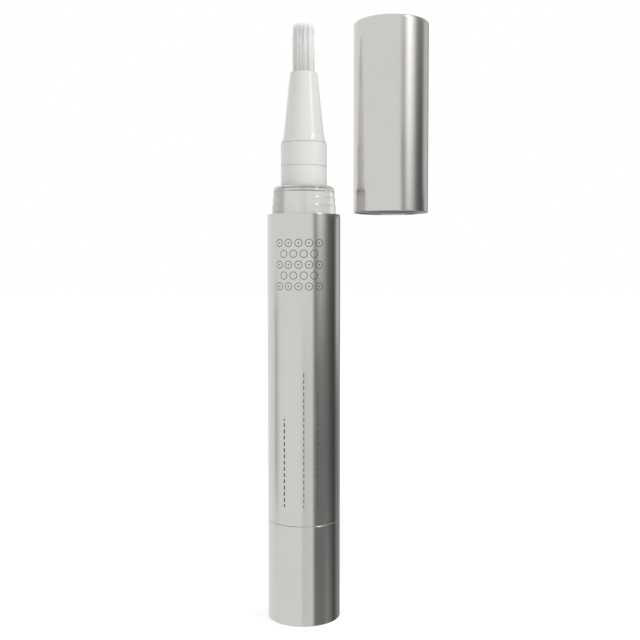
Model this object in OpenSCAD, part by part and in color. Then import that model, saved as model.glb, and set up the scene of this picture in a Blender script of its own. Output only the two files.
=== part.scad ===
/* [Barrel] */
// Outside diameter of the barrel sleeve and of the knob
barrel_d = 16; // [15.4:0.1:18]
// Length of the barrel sleeve
barrel_l = 66.85; // [62:0.05:80]
// Wall of the drawn metal sleeves of barrel, knob and cap
sleeve_wall = 0.4; // [0.3:0.05:0.5]
// Bevel on the cut edges of the metal sleeves
sleeve_bevel = 0.1; // [0.05:0.01:0.14]

/* [Knob] */
// Length of the turning knob
knob_l = 21.8; // [20:0.1:26]
// Open seam between the knob and the barrel
seam_gap = 0.25; // [0.2:0.05:0.4]
// Rounding of the knob's lower edge
knob_round = 0.45; // [0.3:0.05:0.8]
// Wall of the plastic core inside the knob sleeve
core_wall = 0.9; // [0.7:0.1:1.2]
// Floor of the plastic core
core_floor = 1.25; // [1:0.05:1.6]
// Distance that the core stays below the knob's open edge
core_recess = 0.5; // [0.3:0.1:1]
// Wall of the boss that holds the drive stem
boss_wall = 1.1; // [0.8:0.1:1.5]
// Height of that boss above the core's floor
boss_h = 12; // [8:0.5:16]
// Thickness of the ribs between the boss and the core's wall
rib_t = 0.9; // [0.7:0.1:1.2]
// Number of those ribs
rib_count = 6; // [4:1:8]

/* [Reservoir and collar] */
// Wall of the reservoir that the piston runs in
reservoir_wall = 1.25; // [1:0.05:1.5]
// Height of the clear collar above the barrel's rim
collar_h = 6.1; // [5.6:0.1:8]
// Width of the step between the collar and the barrel sleeve's bore
collar_step = 0.55; // [0.4:0.05:0.8]
// Narrowing of the collar's radius from the barrel's rim to its rounded shoulder
collar_taper = 0.45; // [0.2:0.05:0.7]
// Wall of the collar below its shoulder
collar_wall = 1.53; // [1.2:0.01:1.8]
// Rounding of the collar's shoulder
collar_round = 0.7; // [0.4:0.05:0.9]
// Depth of the collar's step below the barrel's rim
collar_sink = 0.35; // [0.2:0.05:0.6]
// Distance from one grip bead to the next
bead_pitch = 1.68; // [1.4:0.02:1.7]
// Width of a grip bead
bead_w = 0.8; // [0.6:0.05:1.2]
// Height of a grip bead over the collar
bead_h = 0.08; // [0.04:0.01:0.12]
// Number of grip beads
bead_count = 3; // [2:1:3]
// Length of the neck bore below the barrel's rim
neck_depth = 1.4; // [1:0.1:2.4]

/* [White neck and nozzle] */
// Wall of the two neck rings
ring_wall = 1.37; // [1.1:0.01:1.6]
// Height of the lower neck ring
lower_ring_h = 4.4; // [3:0.1:6]
// Height of the upper neck ring
upper_ring_h = 5; // [3:0.1:7]
// Bevel that draws the fine line between the rings
ring_bevel = 0.08; // [0.04:0.01:0.14]
// Length of the nozzle above the rings
nozzle_l = 15.2; // [13:0.1:18]
// Wall of the nozzle's tip around the bristles
tip_wall = 0.56; // [0.45:0.01:0.7]
// Height of the concave flare at the nozzle's foot
flare_h = 1.9; // [1.2:0.1:3]
// Width of the concave flare
flare_w = 0.38; // [0.2:0.02:0.5]
// Rounding of the nozzle's tip
nozzle_round = 0.18; // [0.1:0.02:0.3]
// Length of the spigot inside the nozzle
spigot_grip = 3.6; // [2.5:0.1:5]
// Height of the barbs that hold the plug in the neck bore
barb_h = 0.18; // [0.1:0.01:0.25]
// Height of one barb
barb_w = 1; // [0.8:0.05:1.2]
// Thickness of the sealing ring around the plug
plug_seal_t = 0.85; // [0.7:0.05:0.95]

/* [Brush] */
// Free length of the bristles over the nozzle
brush_l = 9.4; // [7:0.1:12]
// Share of the neck rings' diameter that the bristle bundle takes
brush_share = 0.464; // [0.43:0.002:0.48]
// Share of the bristles' spacing that one bristle takes
strand_share = 0.73; // [0.5:0.01:0.75]
// Number of the innermost ring of bristles, which leaves room for the feed tube
strand_first = 4; // [4:1:5]
// Number of the outermost ring of bristles
strand_last = 11; // [9:1:11]
// Greatest difference in length between bristles
strand_uneven = 0.24; // [0:0.02:0.5]
// Thickness of the bristles' fused root
root_h = 1.1; // [0.8:0.1:2]
// Length of the retainer under the fused root
retainer_h = 3.4; // [2:0.1:4]
// Share of the bristle bundle's diameter that the feed tube takes
feed_share = 0.28; // [0.2:0.01:0.3]
// Share of the feed tube's diameter that its bore takes
feed_bore_share = 0.54; // [0.4:0.02:0.6]
// Length of the feed tube among the free bristles
feed_out = 1.5; // [1:0.1:3]

/* [Screw drive] */
// Length of the drive housing inside the barrel
housing_l = 24.95; // [24.5:0.05:27]
// Share of the drive stem's diameter that the rod's crest takes
rod_share = 0.565; // [0.54:0.005:0.6]
// Depth of the rod's thread
thread_depth = 0.5; // [0.35:0.05:0.55]
// Depth of the rod's two flats below the thread's root
flat_cut = 0.1; // [0.05:0.01:0.2]
// Advance of the rod in one turn
lead = 3; // [2.4:0.1:3.6]
// Height of one thread flank
flank_w = 0.35; // [0.25:0.05:0.45]
// Share of the thread root's diameter that the neck under the rod's head takes
rod_neck_share = 0.62; // [0.5:0.01:0.7]
// Share of the thread root's diameter that the rod's head takes
rod_head_share = 0.905; // [0.85:0.005:0.93]
// Height of the rod's foot above the floor of the knob's core
rod_foot_h = 1.2; // [0.8:0.1:2]
// Height of the rod's head
rod_head_h = 1.5; // [1:0.1:2]
// Height of the screw nut
nut_h = 6; // [5:0.1:6.5]
// Wall of the screw nut between the thread's crest and its flats
nut_wall = 1.65; // [1.4:0.05:1.9]
// Length of the flatted bore at the stem's top
drive_grip_l = 8; // [5:0.5:10]
// Radial gap between the rod's crest and the stem's bore below the flatted bore
bore_gap = 0.4; // [0.25:0.05:0.5]
// Height of the bead that snaps the stem into the housing
snap_h = 0.35; // [0.2:0.05:0.5]
// Width of that snap bead
snap_w = 1.1; // [0.8:0.1:1.6]
// Distance of the snap bead below the stem's top
snap_drop = 2.2; // [1.6:0.1:3]
// Thickness of the web under the nut
web_t = 1.45; // [1.2:0.05:2]
// Outside relief of the housing between its two bands
relief_depth = 1.2; // [0.5:0.1:1.6]
// Length of each of the housing's press bands
band_l = 8; // [7:0.5:9]

/* [Click ratchet] */
// Number of clicks in one turn
clicks = 12; // [8:1:16]
// Height of the ratchet ring
click_h = 3; // [2:0.1:4]
// Depth of the pocket that holds the ratchet ring
click_pocket = 6; // [5:0.1:7]
// Wall of the drive housing around that pocket
click_wall = 0.85; // [0.7:0.05:1]
// Rim of the ratchet ring behind its teeth
click_rim = 0.35; // [0.25:0.05:0.45]
// Depth of the ratchet's teeth
tooth_depth = 0.4; // [0.3:0.05:0.5]
// Wall of the pawl ring's hub
hub_wall = 0.4; // [0.3:0.05:0.45]
// Thickness of a pawl's arm
arm_t = 0.3; // [0.2:0.05:0.35]
// Gap between a pawl's arm and the hub
arm_gap = 0.25; // [0.2:0.05:0.35]
// Number of pawls
pawls = 2; // [2:1:3]
// Angle that each pawl's arm spans, in degrees
arm_angle = 76; // [50:1:90]
// Angle of a pawl's root and of its tip, in degrees
pawl_end_angle = 10; // [8:1:14]
// Height that the keys of the stem stand out
key_h = 0.25; // [0.15:0.05:0.3]
// Width of those keys
key_w = 1.2; // [0.8:0.1:1.6]
// Height of the flange that the pawl ring sits on
flange_h = 1; // [0.8:0.1:1.5]

/* [Piston] */
// Length of the piston
piston_l = 6.5; // [6.2:0.1:7]
// Rest gap between the piston and the drive housing
piston_gap = 0.5; // [0.3:0.1:1]
// Gap that stays over the piston at the end of its travel
end_gap = 0.5; // [0.3:0.1:1]
// Floor of the piston under the rod's head
piston_floor = 1.3; // [1:0.1:1.6]
// Depth of the dish in the piston's top
dish_depth = 1; // [0.5:0.1:1.2]
// Share of the reservoir's bore that the dish in the piston's top takes
dish_share = 0.635; // [0.5:0.005:0.7]
// Thickness of the piston's sealing rings
seal_t = 0.9; // [0.7:0.05:1]
// Distance of each sealing ring from the piston's nearer end
seal_inset = 1.6; // [1.3:0.1:2]

/* [Cap] */
// Height of the cap's side over the barrel's, as a difference in radius
cap_over = 0.15; // [0:0.05:0.6]
// Rounding of the cap's closed end
cap_round = 0.5; // [0.3:0.05:0.8]
// Rest gap between a seated cap and the barrel's rim
cap_gap = 0.2; // [0.1:0.05:0.4]
// Distance between the barrel and the cap that is set aside beside it
cap_aside_gap = 2.85; // [1:0.05:20]
// Height of the set aside cap over its seated height
cap_aside_z = 0.25; // [0:0.05:2]
// Radial gap between the cap's mouth and the foot of the collar
mouth_gap = 0.15; // [0.1:0.01:0.25]
// Wall of the liner above the seal
liner_wall = 1.3; // [1:0.05:1.6]
// Closed end of the liner
liner_top = 0.35; // [0.3:0.05:0.6]
// Distance of the liner's mouth inside the shell's edge
liner_recess = 0.3; // [0.2:0.05:0.6]
// Free space over the bristles in a seated cap
tip_gap = 0.2; // [0.15:0.05:0.6]
// Thickness of the sealing washer in the cap
washer_h = 1.2; // [0.8:0.1:2]
// Wall of the liner around the sealing washer
washer_wall = 0.8; // [0.6:0.05:1]
// Radial gap between the washer's hole and the neck rings
washer_gap = 0.33; // [0.2:0.01:0.5]

/* [Fits] */
// Radial gap of pieces that are pressed together
seat_gap = 0.05; // [0.04:0.01:0.06]
// Radial gap of the turning and sliding fits
run_gap = 0.06; // [0.05:0.01:0.08]
// Gap around the screw thread and in the flatted bore
thread_gap = 0.12; // [0.1:0.01:0.14]
// Open gap between pieces that pass each other
free_gap = 0.3; // [0.25:0.05:0.4]
// Gap between the pawls' tips and the teeth
pawl_gap = 0.1; // [0.08:0.01:0.14]

/* [Hidden] */
$fn = 96;

// Radii of the barrel and what it holds
barrel_r = barrel_d / 2;
sleeve_bore_r = barrel_r - sleeve_wall;
insert_r = sleeve_bore_r - seat_gap;
reservoir_r = insert_r - reservoir_wall;
collar_r = sleeve_bore_r - collar_step;
collar_top_r = collar_r - collar_taper;
neck_bore_r = collar_top_r - collar_wall;
ring_r = neck_bore_r - seat_gap;
spigot_r = ring_r - ring_wall - seat_gap;
cone_foot_r = ring_r - ring_bevel - flare_w;
brush_r = brush_share * ring_r;
channel_r = brush_r + 2 * seat_gap;
nozzle_tip_r = channel_r + tip_wall;
strand_pitch = brush_r / (strand_last + strand_share / 2);
strand_d = strand_share * strand_pitch;
feed_r = feed_share * brush_r;

// Radii of the click ratchet and the screw drive, from the outside in
click_r = insert_r - click_wall;
tooth_crest_r = click_r - seat_gap - click_rim - tooth_depth;
pawl_tip_r = tooth_crest_r - pawl_gap;
arm_r = pawl_tip_r - tooth_depth / 2 - arm_t;
hub_r = arm_r - arm_gap;
stem_r = hub_r - hub_wall - seat_gap;
rod_r = rod_share * stem_r;
stem_bore_r = rod_r + bore_gap;
root_r = rod_r - thread_depth;
flat_x = root_r - flat_cut;
rod_neck_r = rod_neck_share * root_r;
rod_head_r = rod_head_share * root_r;
nut_af = 2 * (rod_r + nut_wall);

// Heights from the knob's face up to the brush
barrel_z0 = knob_l + seam_gap;
rim_z = barrel_z0 + barrel_l;
collar_z1 = rim_z + collar_h;
lower_ring_z1 = collar_z1 + lower_ring_h;
upper_ring_z1 = lower_ring_z1 + upper_ring_h;
nozzle_z1 = upper_ring_z1 + nozzle_l;
brush_z1 = nozzle_z1 + brush_l;
housing_z1 = barrel_z0 + housing_l;
neck_z0 = rim_z - neck_depth;
spigot_z1 = upper_ring_z1 + spigot_grip;
retainer_z1 = spigot_z1 + seat_gap + retainer_h;
root_z0 = retainer_z1 + seat_gap;

// Screw drive from the bottom up
core_z0 = sleeve_wall + seat_gap;
core_z1 = knob_l - core_recess;
stem_z0 = core_z0 + core_floor + seat_gap;
nut_z0 = housing_z1 - nut_h;
web_z0 = nut_z0 - web_t;
stem_z1 = web_z0 - free_gap;
snap_z = stem_z1 - snap_drop;
pocket_z1 = barrel_z0 + click_pocket;
click_z0 = pocket_z1 - click_h;
pawl_z1 = pocket_z1 - free_gap;
pawl_h = click_h - free_gap;
pawl_z0 = pawl_z1 - pawl_h;

// Piston and rod
piston_z0 = housing_z1 + piston_gap;
piston_z1 = piston_z0 + piston_l;
piston_r = reservoir_r - seat_gap - run_gap;
travel = neck_z0 - end_gap - piston_z1;
head_z0 = piston_z0 + piston_floor + run_gap;
head_z1 = head_z0 + rod_head_h;
rod_z0 = stem_z0 + rod_foot_h;
rod_shoulder_z = piston_z0 - free_gap;
steps = 20;
thread_w = lead - 2 * flank_w;
thread_z0 = rod_z0 + flank_w;
thread_turns = floor((rod_shoulder_z - thread_z0) / lead) - 1;

// Cap, from its own mouth up
cap_l = brush_z1 + tip_gap + liner_top + seat_gap + sleeve_wall - rim_z - cap_gap;
cap_z0 = rim_z + cap_gap + cap_aside_z;
cap_r = barrel_r + cap_over;
cap_aside_x = barrel_r + cap_aside_gap + cap_r;
liner_r = cap_r - sleeve_wall - seat_gap;
washer_r = liner_r - washer_wall - seat_gap;
liner_z1 = cap_l - sleeve_wall - seat_gap;
washer_z0 = collar_h - cap_gap + free_gap;
washer_z1 = washer_z0 + washer_h;
mouth_r = collar_r + mouth_gap;

// Counts of the steps along rounded outlines
arc_steps = 5;
bead_steps = 6;
flare_steps = 6;
// How fast the nozzle's flare closes on its cone
flare_power = 2.2;
// Share of the thread's flats that its root takes
root_share = 0.5;
// Share of a turn over which the thread's crest rises at its ends
rise_share = 0.5;
// Share of a tooth's pitch that its steep side takes
tooth_lean_share = 0.125;
// Angles, in degrees, that spread the bristles' lengths
strand_angle = 137.5;
strand_ring_angle = 61;

function lerp(a, b, t) = a + (b - a) * t;

// Points of a quarter arc of radius r about (x, z), from angle a0 to angle a1
function arc(x, z, r, a0, a1) = [
    for (i = [0:arc_steps])
        let (a = lerp(a0, a1, i / arc_steps)) [x + r * cos(a), z + r * sin(a)]
];

// A plain tube from z0 to z1
module tube(r_in, r_out, z0, z1) {
    rotate_extrude() polygon([[r_in, z0], [r_out, z0], [r_out, z1], [r_in, z1]]);
}

// A tube whose outer edges are bevelled
module bevelled_tube(r_in, r_out, z0, z1, bevel) {
    rotate_extrude() polygon([
        [r_in, z0],
        [r_out - bevel, z0],
        [r_out, z0 + bevel],
        [r_out, z1 - bevel],
        [r_out - bevel, z1],
        [r_in, z1]
    ]);
}

// A sealing ring of round section
module o_ring(centre_r, thickness, z) {
    rotate_extrude() translate([centre_r, z]) circle(d = thickness, $fn = 32);
}

// A cup open at one end, as an outline in radius and height
function cup_outline(r, wall, l, round_r) = concat(
    [[0, 0]],
    arc(r - round_r, round_r, round_r, -90, 0),
    [[r, l - sleeve_bevel], [r - sleeve_bevel, l], [r - wall, l]],
    [[r - wall, wall], [0, wall]]
);

module barrel_sleeve() {
    color("silver") bevelled_tube(sleeve_bore_r, barrel_r, barrel_z0, rim_z, sleeve_bevel);
}

// Radius of the collar's tapered side, with its grip beads, at height z
function collar_side(z) = lerp(
    collar_r,
    collar_top_r,
    (z - rim_z) / (collar_h - collar_round)
);

// Middle height of bead n, counted from below, the last one ending at the shoulder
function bead_z(n) = collar_z1 - collar_round - bead_w / 2 - (bead_count - 1 - n) * bead_pitch;

function bead_points(n) = [
    for (i = [0:bead_steps])
        let (t = i / bead_steps, z = bead_z(n) + bead_w * (t - 1 / 2))
            [collar_side(z) + bead_h * sin(180 * t), z]
];

// Outline of the plug's barbs, or of the grooves for them, from bottom to top
function barb_points(r, rise, w) = [
    for (n = [0:bead_count - 1], p = [[0, -1 / 2], [rise, 0], [0, 1 / 2]])
        [r + p[0], bead_z(n) + w * p[1]]
];

module reservoir_tube() {
    shoulder = arc(collar_top_r - collar_round, collar_z1 - collar_round, collar_round, 0, 90);
    grooves = barb_points(neck_bore_r, barb_h + seat_gap, barb_w + 2 * seat_gap);
    color("whitesmoke", 0.5) rotate_extrude() polygon(concat(
        [[reservoir_r, housing_z1], [insert_r, housing_z1]],
        [[insert_r, rim_z - collar_sink], [collar_r, rim_z - collar_sink]],
        [for (n = [0:bead_count - 1]) each bead_points(n)],
        shoulder,
        [[neck_bore_r, collar_z1]],
        [for (i = [len(grooves) - 1:-1:0]) grooves[i]],
        [[neck_bore_r, neck_z0], [reservoir_r, neck_z0]]
    ));
}

module drive_housing() {
    journal_r = stem_r + run_gap;
    groove_r = stem_r + snap_h + run_gap;
    groove_h = snap_w / 2 + free_gap;
    relief_r = insert_r - relief_depth;
    pocket_af = nut_af + 2 * seat_gap;
    color("white") difference() {
        rotate_extrude() polygon([
            [click_r, barrel_z0],
            [insert_r, barrel_z0],
            [insert_r, barrel_z0 + band_l],
            [relief_r, barrel_z0 + band_l + relief_depth],
            [relief_r, housing_z1 - band_l - relief_depth],
            [insert_r, housing_z1 - band_l],
            [insert_r, housing_z1],
            [stem_bore_r, housing_z1],
            [stem_bore_r, web_z0],
            [journal_r, web_z0],
            [journal_r, snap_z + groove_h],
            [groove_r, snap_z + groove_h],
            [groove_r, snap_z - groove_h],
            [journal_r, snap_z - groove_h],
            [journal_r, pocket_z1],
            [click_r, pocket_z1]
        ]);
        translate([0, 0, nut_z0])
            cylinder(d = pocket_af / cos(30), h = nut_h + free_gap, $fn = 6);
    }
}

// Height of the thread root's middle on the rod, at angle a in degrees
function root_middle(a) = thread_z0 + root_share * thread_w / 2 + lead * a / 360;

// The ridge inside the nut, which runs in the rod's thread root
module nut_ridge() {
    tip_r = root_r + thread_gap;
    foot_r = rod_r + thread_gap + thread_gap;
    tip_w = root_share * thread_w - 2 * thread_gap;
    foot_w = tip_w + 2 * flank_w * (foot_r - tip_r) / (rod_r - root_r);
    first = ceil((nut_z0 + foot_w - root_middle(0)) / lead) * steps;
    last = floor((housing_z1 - foot_w - root_middle(0)) * steps / lead);
    outline = [[foot_r, -foot_w], [foot_r, foot_w], [tip_r, tip_w], [tip_r, -tip_w]];
    corners = len(outline);
    points = [
        for (i = [first:last])
            let (a = i * 360 / steps, z = root_middle(a))
                for (p = outline) [p[0] * cos(a), p[0] * sin(a), z + p[1] / 2]
    ];
    end_at = (last - first) * corners;
    sides = [
        for (i = [0:corners:end_at - 1], k = [0:corners - 1])
            let (a = i + k, b = i + (k + 1) % corners)
                each [[a, b, b + corners], [a, b + corners, a + corners]]
    ];
    ends = [
        for (k = [1:corners - 2]) each [[0, k + 1, k], [end_at, end_at + k, end_at + k + 1]]
    ];
    polyhedron(points, concat(sides, ends));
}

module screw_nut() {
    color("gainsboro") union() {
        difference() {
            translate([0, 0, nut_z0]) cylinder(d = nut_af / cos(30), h = nut_h, $fn = 6);
            translate([0, 0, nut_z0 - free_gap])
                cylinder(r = rod_r + thread_gap, h = nut_h + 2 * free_gap);
        }
        nut_ridge();
    }
}

module ratchet_ring() {
    tooth_root_r = tooth_crest_r + tooth_depth;
    pitch = 360 / clicks;
    color("white") translate([0, 0, click_z0]) linear_extrude(click_h) difference() {
        circle(r = click_r - seat_gap);
        polygon([
            for (i = [0:clicks - 1], p = [[tooth_crest_r, 0], [tooth_root_r, tooth_lean_share * pitch]])
                [p[0] * cos(i * pitch + p[1]), p[0] * sin(i * pitch + p[1])]
        ]);
    }
}

module neck_plug() {
    bore_r = feed_r + seat_gap;
    groove_r = ring_r - plug_seal_t;
    groove_h = plug_seal_t + 2 * seat_gap;
    groove_z = neck_z0 + plug_seal_t;
    color("whitesmoke", 0.8) rotate_extrude() polygon(concat(
        [[bore_r, neck_z0], [ring_r, neck_z0]],
        [[ring_r, groove_z - groove_h / 2], [groove_r, groove_z - groove_h / 2]],
        [[groove_r, groove_z + groove_h / 2], [ring_r, groove_z + groove_h / 2]],
        barb_points(ring_r, barb_h, barb_w),
        [[ring_r, collar_z1], [spigot_r, collar_z1]],
        [[spigot_r, spigot_z1], [bore_r, spigot_z1]]
    ));
}

module plug_o_ring() {
    middle_r = ring_r + seat_gap / 2 - plug_seal_t / 2;
    color("dimgray") o_ring(middle_r, plug_seal_t, neck_z0 + plug_seal_t);
}

module lower_neck_ring() {
    color("white")
        bevelled_tube(spigot_r + seat_gap, ring_r, collar_z1, lower_ring_z1, ring_bevel);
}

module upper_neck_ring() {
    color("white")
        bevelled_tube(spigot_r + seat_gap, ring_r, lower_ring_z1, upper_ring_z1, ring_bevel);
}

// Radius of the nozzle's cone at height z
function cone_side(z) = lerp(cone_foot_r, nozzle_tip_r, (z - upper_ring_z1) / nozzle_l);

module nozzle() {
    socket_z1 = spigot_z1 + seat_gap;
    flare = [
        for (i = [0:flare_steps])
            let (t = i / flare_steps, z = upper_ring_z1 + flare_h * t)
                [cone_side(z) + flare_w * pow(1 - t, flare_power), z]
    ];
    tip = arc(
        cone_side(nozzle_z1 - nozzle_round) - nozzle_round, nozzle_z1 - nozzle_round,
        nozzle_round, 0, 90
    );
    color("white") rotate_extrude() polygon(concat(
        [[spigot_r + seat_gap, upper_ring_z1]],
        flare,
        tip,
        [[channel_r, nozzle_z1], [channel_r, socket_z1], [spigot_r + seat_gap, socket_z1]]
    ));
}

module bristle_retainer() {
    color("gainsboro")
        tube(feed_r + seat_gap, brush_r + seat_gap, spigot_z1 + seat_gap, retainer_z1);
}

// One ring of bristles: n is its number from the middle out
module strand_ring(n) {
    count = 6 * n;
    for (i = [0:count - 1]) {
        a = i * 360 / count + n * 360 / (strand_last * strand_last);
        uneven = strand_uneven * (1 + sin(i * strand_angle + n * strand_ring_angle)) / 2;
        rotate([0, 0, a]) translate([n * strand_pitch, 0, root_z0 + root_h / 2])
            cylinder(d = strand_d, h = brush_z1 - uneven - root_z0 - root_h / 2, $fn = 4);
    }
}

module bristles() {
    color("lightgray") union() {
        tube(feed_r + seat_gap, brush_r + seat_gap, root_z0, root_z0 + root_h);
        for (n = [strand_first:strand_last])
            strand_ring(n);
    }
}

module feed_tube() {
    color("gainsboro") tube(feed_bore_share * feed_r, feed_r, neck_z0, nozzle_z1 + feed_out);
}

module serum() {
    color("lemonchiffon", 0.5)
        tube(0, reservoir_r - seat_gap, piston_z1 + seat_gap, neck_z0 - seat_gap);
}

module knob_sleeve() {
    color("silver")
        rotate_extrude() polygon(cup_outline(barrel_r, sleeve_wall, knob_l, knob_round));
}

module knob_core() {
    boss_r = stem_r + seat_gap + boss_wall;
    floor_z1 = core_z0 + core_floor;
    color("whitesmoke") union() {
        rotate_extrude() polygon([
            [0, core_z0],
            [insert_r - knob_round, core_z0],
            [insert_r, core_z0 + knob_round],
            [insert_r, core_z1],
            [insert_r - core_wall, core_z1],
            [insert_r - core_wall, floor_z1],
            [boss_r, floor_z1],
            [boss_r, floor_z1 + boss_h],
            [stem_r + seat_gap, floor_z1 + boss_h],
            [stem_r + seat_gap, floor_z1],
            [0, floor_z1]
        ]);
        for (i = [0:rib_count - 1])
            rotate([0, 0, i * 360 / rib_count])
                translate([boss_r - boss_wall / 2, -rib_t / 2, floor_z1 - core_floor / 2])
                    cube([
                        insert_r - core_wall / 2 - boss_r + boss_wall / 2,
                        rib_t,
                        boss_h - core_floor / 2
                    ]);
    }
}

module drive_stem() {
    grip_z0 = stem_z1 - drive_grip_l;
    color("gainsboro") difference() {
        union() {
            rotate_extrude() polygon([
                [0, stem_z0],
                [stem_r, stem_z0],
                [stem_r, pawl_z0 - flange_h],
                [hub_r, pawl_z0 - flange_h],
                [hub_r, pawl_z0],
                [stem_r, pawl_z0],
                [stem_r, snap_z - snap_w / 2],
                [stem_r + snap_h, snap_z],
                [stem_r, snap_z + snap_w / 2],
                [stem_r, stem_z1],
                [0, stem_z1]
            ]);
            for (side = [-1, 1])
                translate([side * stem_r - key_h, -key_w / 2, pawl_z0 - flange_h / 2])
                    cube([2 * key_h, key_w, pawl_h + flange_h / 2 - seat_gap]);
        }
        translate([0, 0, stem_z0 - free_gap])
            cylinder(r = stem_bore_r, h = grip_z0 - stem_z0 + free_gap);
        intersection() {
            translate([0, 0, grip_z0 - free_gap])
                cylinder(r = rod_r + thread_gap, h = drive_grip_l + 2 * free_gap);
            translate([-flat_x - thread_gap, -stem_r, grip_z0 - free_gap])
                cube([2 * (flat_x + thread_gap), 2 * stem_r, drive_grip_l + 2 * free_gap]);
        }
    }
}

// A block of the pawl ring between two radii, over an angle
module pawl_sector(r_in, r_out, angle) {
    rotate_extrude(angle = angle)
        polygon([[r_in, pawl_z0], [r_out, pawl_z0], [r_out, pawl_z1], [r_in, pawl_z1]]);
}

module click_pawls() {
    color("white") difference() {
        union() {
            tube(stem_r + seat_gap, hub_r, pawl_z0, pawl_z1);
            for (i = [0:pawls - 1])
                rotate([0, 0, 90 + i * 360 / pawls]) {
                    pawl_sector(hub_r - hub_wall / 2, arm_r + arm_t, pawl_end_angle);
                    pawl_sector(arm_r, arm_r + arm_t, arm_angle);
                    rotate([0, 0, arm_angle - pawl_end_angle])
                        pawl_sector(arm_r, pawl_tip_r, pawl_end_angle);
                }
        }
        for (side = [-1, 1])
            translate([
                side * stem_r - key_h - seat_gap,
                -key_w / 2 - seat_gap,
                pawl_z0 - free_gap
            ])
                cube([2 * (key_h + seat_gap), key_w + 2 * seat_gap, click_h + free_gap]);
    }
}

// A point of the rod at radius r, angle a and height z, drawn in to the rod's flats
function rod_point(r, a, z) = [
    max(-flat_x, min(flat_x, r * cos(a))),
    r * sin(a),
    z
];

function rod_ring(r, z) = [for (i = [0:steps - 1]) rod_point(r, i * 360 / steps, z)];

// Faces between two rings of points that start at a and at b, b lying over a
function ring_faces(a, b) = [
    for (i = [0:steps - 1])
        let (j = (i + 1) % steps) each [[a + i, b + i, b + j], [a + i, b + j, a + j]]
];

module screw_rod() {
    turns = thread_turns * steps;
    crest_w = (1 - root_share) * thread_w;
    // The thread's outline over one lead: root, flank, crest and flank
    outline = [
        [0, 0],
        [0, root_share * thread_w],
        [1, root_share * thread_w + flank_w],
        [1, root_share * thread_w + flank_w + crest_w]
    ];
    // The crest rises over half a turn at each end of the thread
    rise = [for (i = [0:turns]) min(1, min(i, turns - i) / (rise_share * steps))];
    helix = [
        for (i = [0:turns], p = outline)
            rod_point(
                root_r + p[0] * rise[i] * (rod_r - root_r),
                i * 360 / steps,
                thread_z0 + lead * i / steps + p[1]
            )
    ];
    tail = [
        for (i = [turns + 1:turns + steps])
            rod_point(root_r, i * 360 / steps, thread_z0 + lead * i / steps)
    ];
    lower = concat(rod_ring(root_r - flank_w, rod_z0 - flank_w), rod_ring(root_r, rod_z0));
    upper = concat(
        rod_ring(root_r, rod_shoulder_z),
        rod_ring(rod_neck_r, rod_shoulder_z),
        rod_ring(rod_neck_r, head_z0),
        rod_ring(rod_head_r, head_z0),
        rod_ring(rod_head_r, head_z0 + rod_head_h / 2),
        rod_ring(rod_neck_r, head_z1)
    );
    count = len(outline);
    tail_at = len(helix);
    lower_at = tail_at + len(tail);
    base_at = lower_at + steps;
    upper_at = lower_at + len(lower);
    top_at = upper_at + len(upper) - steps;
    // Number of the helix point i steps along, at point k of the outline
    function at(i, k) = k == count ? at(i + steps, 0)
        : i <= turns ? count * i + k : tail_at + i - turns - 1;
    strips = [
        for (i = [0:turns - 1], k = [0:count - 1])
            each [[at(i, k), at(i, k + 1), at(i + 1, k + 1)], [at(i, k), at(i + 1, k + 1), at(i + 1, k)]]
    ];
    foot = concat(
        [
            for (i = [0:steps - 2])
                each [[base_at + i, at(i, 0), at(i + 1, 0)], [base_at + i, at(i + 1, 0), base_at + i + 1]]
        ],
        [[base_at + steps - 1, at(0, 0), base_at]],
        [for (k = [0:count - 1]) [base_at + steps - 1, at(0, k + 1), at(0, k)]],
        [[base_at + steps - 1, at(steps - 1, 0), at(steps, 0)]]
    );
    shoulder = concat(
        [[at(turns + 1, 0), upper_at, upper_at + 1]],
        [[at(turns + 1, 0), at(turns + steps, 0), upper_at]],
        [for (k = [0:count - 1]) [at(turns + 1, 0), at(turns, k), at(turns, k + 1)]],
        [
            for (i = [1:steps - 1])
                let (j = (i + 1) % steps)
                    each [
                        [at(turns + i, 0), upper_at + i, upper_at + j],
                        [at(turns + i, 0), upper_at + j, at(turns + i + 1, 0)]
                    ]
        ]
    );
    ends = [
        [for (i = [0:steps - 1]) lower_at + i],
        [for (i = [steps - 1:-1:0]) top_at + i]
    ];
    color("white") polyhedron(
        concat(helix, tail, lower, upper),
        concat(
            strips, foot, shoulder, ends, ring_faces(lower_at, base_at),
            [for (a = [upper_at:steps:top_at - 1]) each ring_faces(a, a + steps)]
        )
    );
}

// Middle heights of the piston's two sealing rings
function seal_z(n) = n == 0 ? piston_z0 + seal_inset : piston_z1 - seal_inset;

module piston() {
    groove_r = reservoir_r - run_gap - seal_t - seat_gap;
    groove_h = seal_t / 2 + seat_gap;
    socket_r = rod_head_r + run_gap;
    socket_z0 = piston_z0 + piston_floor;
    socket_z1 = head_z1 + free_gap;
    neck_r = rod_neck_r + run_gap;
    dish_r = dish_share * reservoir_r;
    color("white") difference() {
        rotate_extrude() polygon(concat(
            [[neck_r, piston_z0], [piston_r, piston_z0]],
            [
                for (n = [0:1], p = [[piston_r, -1], [groove_r, -1], [groove_r, 1], [piston_r, 1]])
                    [p[0], seal_z(n) + groove_h * p[1]]
            ],
            [[piston_r, piston_z1], [dish_r, piston_z1]],
            [[dish_r - dish_depth, piston_z1 - dish_depth], [0, piston_z1 - dish_depth]],
            [[0, socket_z1], [socket_r, socket_z1]],
            [[socket_r, socket_z0], [neck_r, socket_z0]]
        ));
    }
}

module piston_o_rings() {
    color("dimgray") for (n = [0:1])
        o_ring(reservoir_r - run_gap - seal_t / 2, seal_t, seal_z(n));
}

// Puts a cap piece, drawn from the cap's mouth up, where the cap is set aside
module at_cap() {
    translate([cap_aside_x, 0, cap_z0]) children();
}

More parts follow.
